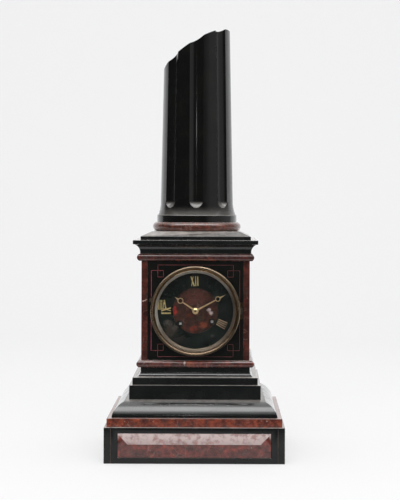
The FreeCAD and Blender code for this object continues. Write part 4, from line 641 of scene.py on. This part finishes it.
fill(tree, shader, {"Base Color": colour, "Roughness": polish["Roughness"],
                    "Normal": bump(tree, polish["Height"], 0.00002, 0.5), "IOR": 1.35})
print("dial slate:", len(tree.nodes), "nodes")

# %% [markdown]
# ## Brass
#
# Turning leaves fine rings round the lathe's axis. A noise that depends only on the distance from
# that axis gives them, and the group also puts out the distance, which the bezel's finish follows.

# %% Lathe lines
lathe, given, result = new_group(
    "lathe_lines",
    {"Position": ("Vector", None), "Centre": ("Vector", (0, 0, 0)), "Fineness": ("Float", 5000.0)},
    {"Height": "Float", "Distance": "Float"})
offset = add(lathe, "ShaderNodeVectorMath", {0: given["Position"], 1: given["Centre"]},
             operation="SUBTRACT")
axes = axes_of(lathe, offset.outputs[0])
flat = add(lathe, "ShaderNodeCombineXYZ", {"X": axes["X"], "Z": axes["Z"]})
distance = add(lathe, "ShaderNodeVectorMath", {0: flat.outputs[0]}, operation="LENGTH").outputs["Value"]
rings = add(lathe, "ShaderNodeTexNoise", {
    "W": times(lathe, distance, given["Fineness"]), "Scale": 1.0, "Detail": 2.0},
    noise_dimensions="1D")
fill(lathe, result, {"Height": rings.outputs["Fac"], "Distance": distance})

# %% [markdown]
# Several kinds of brass meet here. The case brass was lacquered and has turned brown, the movement
# plates are brushed and stay yellow, and the gilt parts are thinly plated and rubbed through at their
# edges. One helper makes metal from a colour, a tarnish and the lathe's lines. Stains are placed marks,
# and so is a painted shadow on the case brass at the hinge.

# %% Metal
# The dial's height in millimetres, and its centre in metres as the shaders read it.
DIAL_HEIGHT = 193.5
DIAL_CENTRE = (0.0, -0.049, DIAL_HEIGHT * MM)


def metal(name, clean, tarnish, seed, smooth=0.22, dull=0.42, low=0.45, high=0.7, centre=DIAL_CENTRE,
          brushed=0.3, scale=90.0, bare=None, marks=(), metallic=1.0):
    """With bare given, the plating is rubbed through along edges for about that width."""
    material, tree, position, shader, output = start_material(name)
    age = cloud_mask(tree, position, scale, detail=6.0, low=low, high=high, seed=seed)
    colour = blend(tree, age, clean, tarnish)
    if bare:
        rubbed = place(tree, edges, {"Position": position, "Reach": bare, "Low": 0.1, "Seed": seed})
        colour = blend(tree, times(tree, rubbed["Mask"], 0.85), colour, paint(0.05, 0.035, 0.02))
    colour = add_marks(tree, colour, position, marks, ragged=0.3)
    rough = add(tree, "ShaderNodeMapRange", {"Value": age, "To Min": smooth, "To Max": dull})
    turned = place(tree, lathe, {"Position": position, "Centre": centre})
    fill(tree, shader, {"Base Color": colour, "Roughness": rough.outputs[0], "Metallic": metallic,
                        "Normal": bump(tree, turned["Height"], 0.00003, brushed)})
    return material

# %% [markdown]
# The hands and numerals are less metallic than clean gilt: a dull film of dirt scatters the light, so
# they stay bright where a mirror would only show the dark room.

# %% Brass, gilt and steel
# The one mark on the case brass is a painted shadow on the hinge at the right of the dial.
brass_case = metal("brass_case", paint(0.30, 0.22, 0.13), paint(0.21, 0.15, 0.09), seed=1.0,
                   smooth=0.30, dull=0.5, low=0.35, high=0.75, marks=(
    ((62.0, -52.0, 193.5), (3.5, 8.0, 16.0), (0.02, 0.015, 0.010), 0.8),))
brass_movement = metal("brass_movement", paint(0.78, 0.58, 0.30), paint(0.55, 0.38, 0.18),
                       seed=2.0, brushed=0.5)
gilt_hands = metal("gilt_hands", paint(0.95, 0.68, 0.36), paint(0.80, 0.54, 0.32), seed=3.0,
                   smooth=0.36, dull=0.46, low=0.5, high=0.75, scale=250.0, bare=0.0007,
                   metallic=0.8)
gilt_numerals = metal("gilt_numerals", paint(0.95, 0.76, 0.34), paint(0.60, 0.43, 0.20), seed=4.0,
                      smooth=0.38, dull=0.52, high=0.65, scale=320.0, bare=0.0003, metallic=0.65,
                      marks=(
    ((36.0, -48.0, 174.5), (9.0, 6.0, 10.0), (0.72, 0.46, 0.34), 0.8),))
steel = metal("polished_steel", paint(0.50, 0.50, 0.51), paint(0.30, 0.28, 0.26), seed=5.0,
              smooth=0.2, dull=0.4)
bell_metal = metal("bell_metal", paint(0.62, 0.50, 0.30), paint(0.34, 0.26, 0.16), seed=6.0,
                   smooth=0.24, dull=0.4, centre=(0.0003, 0.0, 0.1895))
print("materials so far:", len(bpy.data.materials))

# %% [markdown]
# The winding squares sit in dark holes. Their sides are painted near black and not metallic, a painted
# shade for the dark holes, and only the end that the key rubs is bright, so the finish follows the
# distance from the front end.

# %% Winding squares
winding_steel, tree, position, shader, output = start_material("winding_steel")
square_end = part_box("going_winding_arbor")[0].y
# Painted shade: behind the rubbed end the steel is painted near black for the shade inside the holes.
shaded_sides = ramp(tree, axes_of(tree, position)["Y"], square_end + 0.0001, square_end + 0.0004)
colour = blend(tree, shaded_sides, paint(0.70, 0.69, 0.66), paint(0.012, 0.010, 0.009))
fill(tree, shader, {"Base Color": colour, "Metallic": maths(tree, "SUBTRACT", 1.0, shaded_sides),
                    "Roughness": 0.45})
print("winding squares end at", round(square_end / MM, 1), "mm")

# %% [markdown]
# The bezel is one turned ring, so its three finishes follow the distance from the dial's centre: bright
# bead outside, brown hollow, silvered slope inside. The silvering carries a painted reflection of the
# room: pale at the top and the left, dark at the sides and tan below. The bead has painted shade on its
# lower half and underneath, and so have the hinge and the tab outside it, while the hollow is painted
# paler low down as a painted reflection of the floor.

# %% Bezel
bezel_brass, tree, position, shader, output = start_material("bezel_brass")
turned = place(tree, lathe, {"Position": position, "Centre": DIAL_CENTRE, "Fineness": 4000.0})
age = cloud_mask(tree, position, scale=70.0, detail=7.0, low=0.40, high=0.72, seed=8.0)
axes = axes_of(tree, position)
# Painted light: these masks lay a painted reflection on the silvered slope, painted shade on the bead
# low down, underneath and outside it, and a paler painted reflection in the hollow low down.
low_side = ramp(tree, axes["Z"], DIAL_CENTRE[2], 0.145)
lateral = ramp(tree, axes["Z"], 0.236, 0.205)
left_side = ramp(tree, axes["X"], -0.040, -0.052)
bright = maths(tree, "MAXIMUM", ramp(tree, axes["Z"], 0.236, 0.246), left_side)
under = ramp(tree, rise_of(tree), -0.10, -0.60)
beyond = ramp(tree, turned["Distance"], 0.0592, 0.0596)
in_hollow = ramp(tree, turned["Distance"], 0.0566, 0.0559)
in_slope = ramp(tree, turned["Distance"], 0.0537, 0.0534)
silver = blend(tree, times(tree, age, 0.5), paint(0.72, 0.69, 0.64), paint(0.46, 0.40, 0.32))
silver = blend(tree, times(tree, lateral, 0.85), silver, paint(0.22, 0.16, 0.12))
silver = blend(tree, times(tree, low_side, 0.8), silver, paint(0.22, 0.17, 0.125))
silver = blend(tree, times(tree, bright, 0.7), silver, paint(0.62, 0.57, 0.50))
bead = blend(tree, age, paint(0.34, 0.26, 0.18), paint(0.20, 0.15, 0.10))
bead = blend(tree, times(tree, low_side, 0.95), bead, paint(0.055, 0.038, 0.024))
bead = blend(tree, times(tree, beyond, 0.9), bead, paint(0.035, 0.026, 0.018))
bead = blend(tree, times(tree, under, 0.75), bead, paint(0.04, 0.028, 0.018))
hollow = blend(tree, age, paint(0.20, 0.12, 0.055), paint(0.09, 0.055, 0.03))
hollow = blend(tree, times(tree, low_side, 0.7), hollow, paint(0.20, 0.15, 0.11))
colour = blend(tree, in_slope, blend(tree, in_hollow, bead, hollow), silver)
# Where the painted shade and the painted highlight lie, the metal is made matte so the painted colour
# shows.
shaded_low = times(tree, maths(tree, "MAXIMUM", times(tree, under, low_side), beyond), 0.85)
painted_light_matte = blend(tree, in_slope, shaded_low, times(tree, bright, 0.6))
rough = maths(tree, "ADD", ramp(tree, age, 0.0, 1.0, 0.26, 0.42), times(tree, in_slope, 0.2))
fill(tree, shader, {"Base Color": colour, "Metallic": maths(tree, "SUBTRACT", 1.0, painted_light_matte),
                    "Roughness": rough, "Normal": bump(tree, turned["Height"], 0.00003, 0.35)})
print("bezel brass:", len(tree.nodes), "nodes")

# %% [markdown]
# ## Glass
#
# The glass is a plain bevelled disc. Real shadows through it would need caustics, which a path tracer
# finds slowly, so shadow rays pass straight through.

# %% Glass
glass, tree, position, shader, output = start_material("bevelled_glass")
smears = cloud_mask(tree, position, scale=60.0, detail=7.0, low=0.5, high=0.8, seed=12.0)
fill(tree, shader, {"Base Color": paint(0.97, 0.985, 0.98), "Transmission Weight": 1.0,
                    "IOR": 1.5, "Roughness": times(tree, smears, 0.02)})
clear = add(tree, "ShaderNodeBsdfTransparent", {"Color": paint(0.93, 0.94, 0.935)})
shadow = add(tree, "ShaderNodeLightPath").outputs["Is Shadow Ray"]
either = add(tree, "ShaderNodeMixShader", {0: shadow, 1: shader.outputs[0], 2: clear.outputs[0]})
fill(tree, output, {"Surface": either.outputs[0]})

# %% [markdown]
# ## Dress the CAD nodes
#
# Every node gets its finish by name. One table of finishes is easier to read and to check than sixty
# assignments, and the printed line shows at once when a node was forgotten.

# %% Finishes by node
finishes = {
    slate_base: ["base_back_slab", "base_cheeks", "base_floor", "base_front_slab"],
    slate_mould: ["cushion_moulding", "plinth", "neck_moulding", "cornice", "cornice_cap"],
    slate_case: ["case_back", "case_front"],
    slate_column: ["column_shaft"],
    marble_band: ["red_band"],
    marble_panel: ["base_panel"],
    marble_lower: ["lower_torus"],
    marble_strips: ["case_cheeks"],
    marble_upper: ["upper_torus"],
    marble_column: ["column_torus"],
    marble_dial: ["dial_centre"],
    chapter: ["chapter_ring"],
    bezel_brass: ["bezel"],
    brass_case: ["bezel_seat", "back_ring", "back_door"],
    brass_movement: ["back_plate", "front_plate", "plate_pillars", "dial_posts", "movement_straps",
                     "suspension_cock", "bell_stand", "escape_wheel", "fly", "going_barrel",
                     "strike_barrel", "hour_wheel", "cannon_pinion", "centre_wheel", "minute_wheel",
                     "pendulum_bob", "second_wheel", "strike_second_wheel", "strike_third_wheel",
                     "third_wheel"],
    gilt_hands: ["hour_hand", "minute_hand"],
    gilt_numerals: ["numerals"],
    steel: ["anchor", "crutch", "hinge_pins", "ratchet_clicks", "tie_rod", "hammer", "centre_arbor",
            "pendulum_rod", "suspension_spring"],
    winding_steel: ["going_winding_arbor", "strike_winding_arbor"],
    bell_metal: ["bell"],
    glass: ["bezel_glass"],
}
for material, names in finishes.items():
    for name in names:
        nodes[name].data.materials.clear()
        nodes[name].data.materials.append(material)
dressed = [name for names in finishes.values() for name in names]
print("dressed", len(dressed), "of", len(nodes), "missing", sorted(set(nodes) - set(dressed)))

# %% [markdown]
# Stone edges are never knife sharp. A small bevel on a welded copy of the mesh catches a thin line of
# light along each ledge, and weighted normals keep the flat faces flat. These are modifiers, so the
# CAD mesh underneath stays as it is.

# %% Soft edges
def soften_edges(names, width):
    """Round the stone edges of the named nodes over a width in metres."""
    for name in names:
        weld = nodes[name].modifiers.new("weld", "WELD")
        weld.merge_threshold = 0.00001
        bevel = nodes[name].modifiers.new("soft_edge", "BEVEL")
        bevel.width = width
        bevel.segments = 2
        bevel.limit_method = "ANGLE"
        bevel.angle_limit = math.radians(32)
        normals = nodes[name].modifiers.new("even_normals", "WEIGHTED_NORMAL")
        normals.weight = 80
    print("softened", len(names), "nodes by", width / MM, "mm")


soften_edges(finishes[slate_base] + finishes[slate_mould], 0.0005)
soften_edges(["red_band", "base_panel", "lower_torus", "upper_torus", "case_cheeks"], 0.0004)
soften_edges(["case_back", "case_front"], 0.0002)

# %% [markdown]
# ## Engraved border
#
# The engraver cut a Greek key border into the front of the case and rubbed red into the lines. A
# line half a millimetre wide is too fine to cut into the solid, so it is laid on as a thin inlay
# that stands a few hundredths proud. Two helpers serve it and the pieces after it: one turns a mesh
# into a piece that rides a body of the clock, the other draws a box.

# %% Helpers for added pieces
def mesh_piece(name, bm, material, body):
    mesh = bpy.data.meshes.new(name)
    bm.normal_update()
    bm.to_mesh(mesh)
    bm.free()
    mesh.materials.append(material)
    piece = bpy.data.objects.new(name, mesh)
    scene.collection.objects.link(piece)
    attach(piece, body)
    print(name, "has", len(mesh.polygons), "faces")


def slab_between(bm, low, high):
    """Add a box between two corners given in millimetres."""
    corners = [[(low[axis], high[axis])[bit >> axis & 1] * MM for axis in range(3)] for bit in range(8)]
    points = [bm.verts.new(corner) for corner in corners]
    for loop in ((0, 2, 3, 1), (4, 5, 7, 6), (0, 1, 5, 4), (2, 6, 7, 3), (0, 4, 6, 2), (1, 3, 7, 5)):
        bm.faces.new([points[index] for index in loop])

# %% [markdown]
# The lines are listed once for one corner and mirrored three times, because the engraver did the
# same. The corners below the dial have their own rises, since the border is a little taller there.

# %% Border lines
# Millimetres: the width of a line, how far it stands proud and reaches in, the front of the case, and
# the lines' distances from the dial's centre, across and up in the upper and the lower corners.
LINE = 0.55
PROUD = 0.04
SUNK = 0.02
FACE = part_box("case_front")[0].y / MM
ACROSS = (42.5, 50.0, 58.6)
RISES = (44.5, 53.1, 60.4)
DROPS = (44.5, 52.9, 61.0)


def border_segments(rises):
    """Lines of the corner at (+x, +z) as (x0, z0, x1, z1), measured from the dial's centre."""
    inner, middle, outer = ACROSS
    low, mid, high = rises
    return [(0, high, middle, high), (middle, low, middle, high), (inner, low, middle, low),
            (inner, low, inner, mid), (inner, mid, outer, mid), (outer, 0, outer, mid)]


bm = bmesh.new()
for side in (-1, 1):
    for upward, rises in ((1, RISES), (-1, DROPS)):
        for x0, z0, x1, z1 in border_segments(rises):
            xs = sorted((side * x0, side * x1))
            zs = sorted((DIAL_HEIGHT + upward * z0, DIAL_HEIGHT + upward * z1))
            slab_between(bm, (xs[0] - LINE / 2, FACE - PROUD, zs[0] - LINE / 2),
                         (xs[1] + LINE / 2, FACE + SUNK, zs[1] + LINE / 2))
print("border lines:", len(bm.faces) // 6)

# %% [markdown]
# The red is fresh along the left line and rubbed away towards the right, so its strength is a ramp
# across the case with a cloud on top.

# %% Rubbed red
red_line, tree, position, shader, output = start_material("rubbed_red")
axes = axes_of(tree, position)
left = ramp(tree, axes["X"], 0.02, -0.058)
patchy = cloud_mask(tree, position, scale=140.0, detail=5.0, low=0.3, high=0.7, seed=6.0)
strength = times(tree, ramp(tree, left, 0.0, 1.0, 0.45, 1.0), ramp(tree, patchy, 0.0, 1.0, 0.5, 1.0))
colour = blend(tree, strength, paint(0.03, 0.012, 0.011), paint(0.26, 0.052, 0.060))
fresh = ramp(tree, axes["X"], -0.0570, -0.0582)
colour = blend(tree, times(tree, fresh, ramp(tree, patchy, 0.1, 0.6, 0.45, 1.0)),
               colour, paint(0.46, 0.062, 0.13))
fill(tree, shader, {"Base Color": colour, "Roughness": ramp(tree, patchy, 0.0, 1.0, 0.4, 0.7)})
mesh_piece("engraved_border", bm, red_line, "case")

# %% [markdown]
# ## Joint lines of the base
#
# The base block is glued from a front slab and two side slabs. The glue has aged to a thin brown
# line. It is a hair proud of the stone, like the border.

# %% Glue lines
# Millimetres: half the width, how far it stands proud and reaches in, and how far it stops short.
HALF_JOINT = 0.22
HAIR = 0.02
SHORT = 0.6
bm = bmesh.new()
front_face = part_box("base_front_slab")[0].y / MM
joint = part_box("base_front_slab")[1].x / MM
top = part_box("base_front_slab")[1].z / MM
for side in (-1, 1):
    x = side * joint
    slab_between(bm, (x - HALF_JOINT, front_face - HAIR, SHORT),
                 (x + HALF_JOINT, front_face + HAIR, top - SHORT))
glue, tree, position, shader, output = start_material("aged_glue")
patchy = cloud_mask(tree, position, scale=150.0, detail=5.0, low=0.35, high=0.65, seed=9.0)
colour = blend(tree, patchy, paint(0.035, 0.022, 0.015), paint(0.12, 0.075, 0.05))
fill(tree, shader, {"Base Color": colour, "Roughness": ramp(tree, patchy, 0.0, 1.0, 0.5, 0.8)})
mesh_piece("glue_lines", bm, glue, "case")

# %% [markdown]
# ## Screws
#
# A slotted screw head is a shallow turned button with a channel across it. The profile is spun
# round its axis, two cuts mark the slot's sides, and the faces between them are pushed in.

# %% Screw heads
def screw_head(bm, centre, radius, height, slot_angle, sides=28):
    """A slotted head that faces the back. All sizes are in millimetres."""
    part = bmesh.new()
    profile = [(0.0, height), (radius * 0.7, height), (radius * 0.92, height * 0.86),
               (radius, height * 0.6), (radius, -0.2)]
    rings = []
    for index, (reach, out) in enumerate(profile):
        count = 1 if index == 0 else sides
        rings.append([part.verts.new((reach * math.cos(math.tau * i / count), -out,
                                      reach * math.sin(math.tau * i / count))) for i in range(count)])
    for i in range(sides):
        part.faces.new((rings[0][0], rings[1][i], rings[1][(i + 1) % sides]))
    for inner, outer in zip(rings[1:], rings[2:]):
        for i in range(sides):
            part.faces.new((inner[i], outer[i], outer[(i + 1) % sides], inner[(i + 1) % sides]))
    half = radius * 0.16
    for side in (-1, 1):
        bmesh.ops.bisect_plane(part, geom=part.verts[:] + part.edges[:] + part.faces[:],
                               plane_co=(0, 0, side * half), plane_no=(0, 0, 1))
    floor = [face for face in part.faces
             if abs(face.calc_center_median().z) < half and face.calc_center_median().y < -height * 0.5]
    pushed = bmesh.ops.extrude_face_region(part, geom=floor)["geom"]
    bmesh.ops.delete(part, geom=floor, context="FACES")
    for vertex in (item for item in pushed if isinstance(item, bmesh.types.BMVert)):
        vertex.co.y = -height * 0.35
    turn = Matrix.Rotation(slot_angle, 4, "Y")
    flip = Matrix.Rotation(math.pi, 4, "Z")
    bmesh.ops.transform(part, matrix=flip @ turn, verts=part.verts)
    for vertex in part.verts:
        vertex.co = (vertex.co + Vector(centre)) * MM
    bmesh.ops.recalc_face_normals(part, faces=part.faces)
    mesh = bpy.data.meshes.new("screw_part")
    part.to_mesh(mesh)
    part.free()
    bm.from_mesh(mesh)
    bpy.data.meshes.remove(mesh)

# %% [markdown]
# Four screws hold the back plate to its pillars, and four hold the ring of the back opening. Nobody
# lines up the slots by hand, so each is turned a little further than the one before.

# %% Screws in their places
bm = bmesh.new()
back_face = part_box("back_plate")[1].y / MM
spots = [(30.1, 220.0), (-32.8, 218.8), (12.0, 155.9), (-7.3, 154.7)]
for index, (x, z) in enumerate(spots):
    screw_head(bm, (x, back_face, z), radius=2.6, height=1.1, slot_angle=0.6 + index * 1.1)
mesh_piece("plate_screws", bm, steel, "case")
SCREW_CIRCLE = 57.3
bm = bmesh.new()
ring_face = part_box("back_ring")[1].y / MM
ring_middle = (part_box("back_ring")[0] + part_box("back_ring")[1]) / 2 / MM
for index in range(4):
    angle = math.radians(45 + 90 * index)
    x = ring_middle.x + SCREW_CIRCLE * math.cos(angle)
    z = ring_middle.z + SCREW_CIRCLE * math.sin(angle)
    screw_head(bm, (x, ring_face, z), radius=1.9, height=0.7, slot_angle=0.4 + index)
mesh_piece("ring_screws", bm, brass_case, "case")
print("screws:", len(spots) + 4)
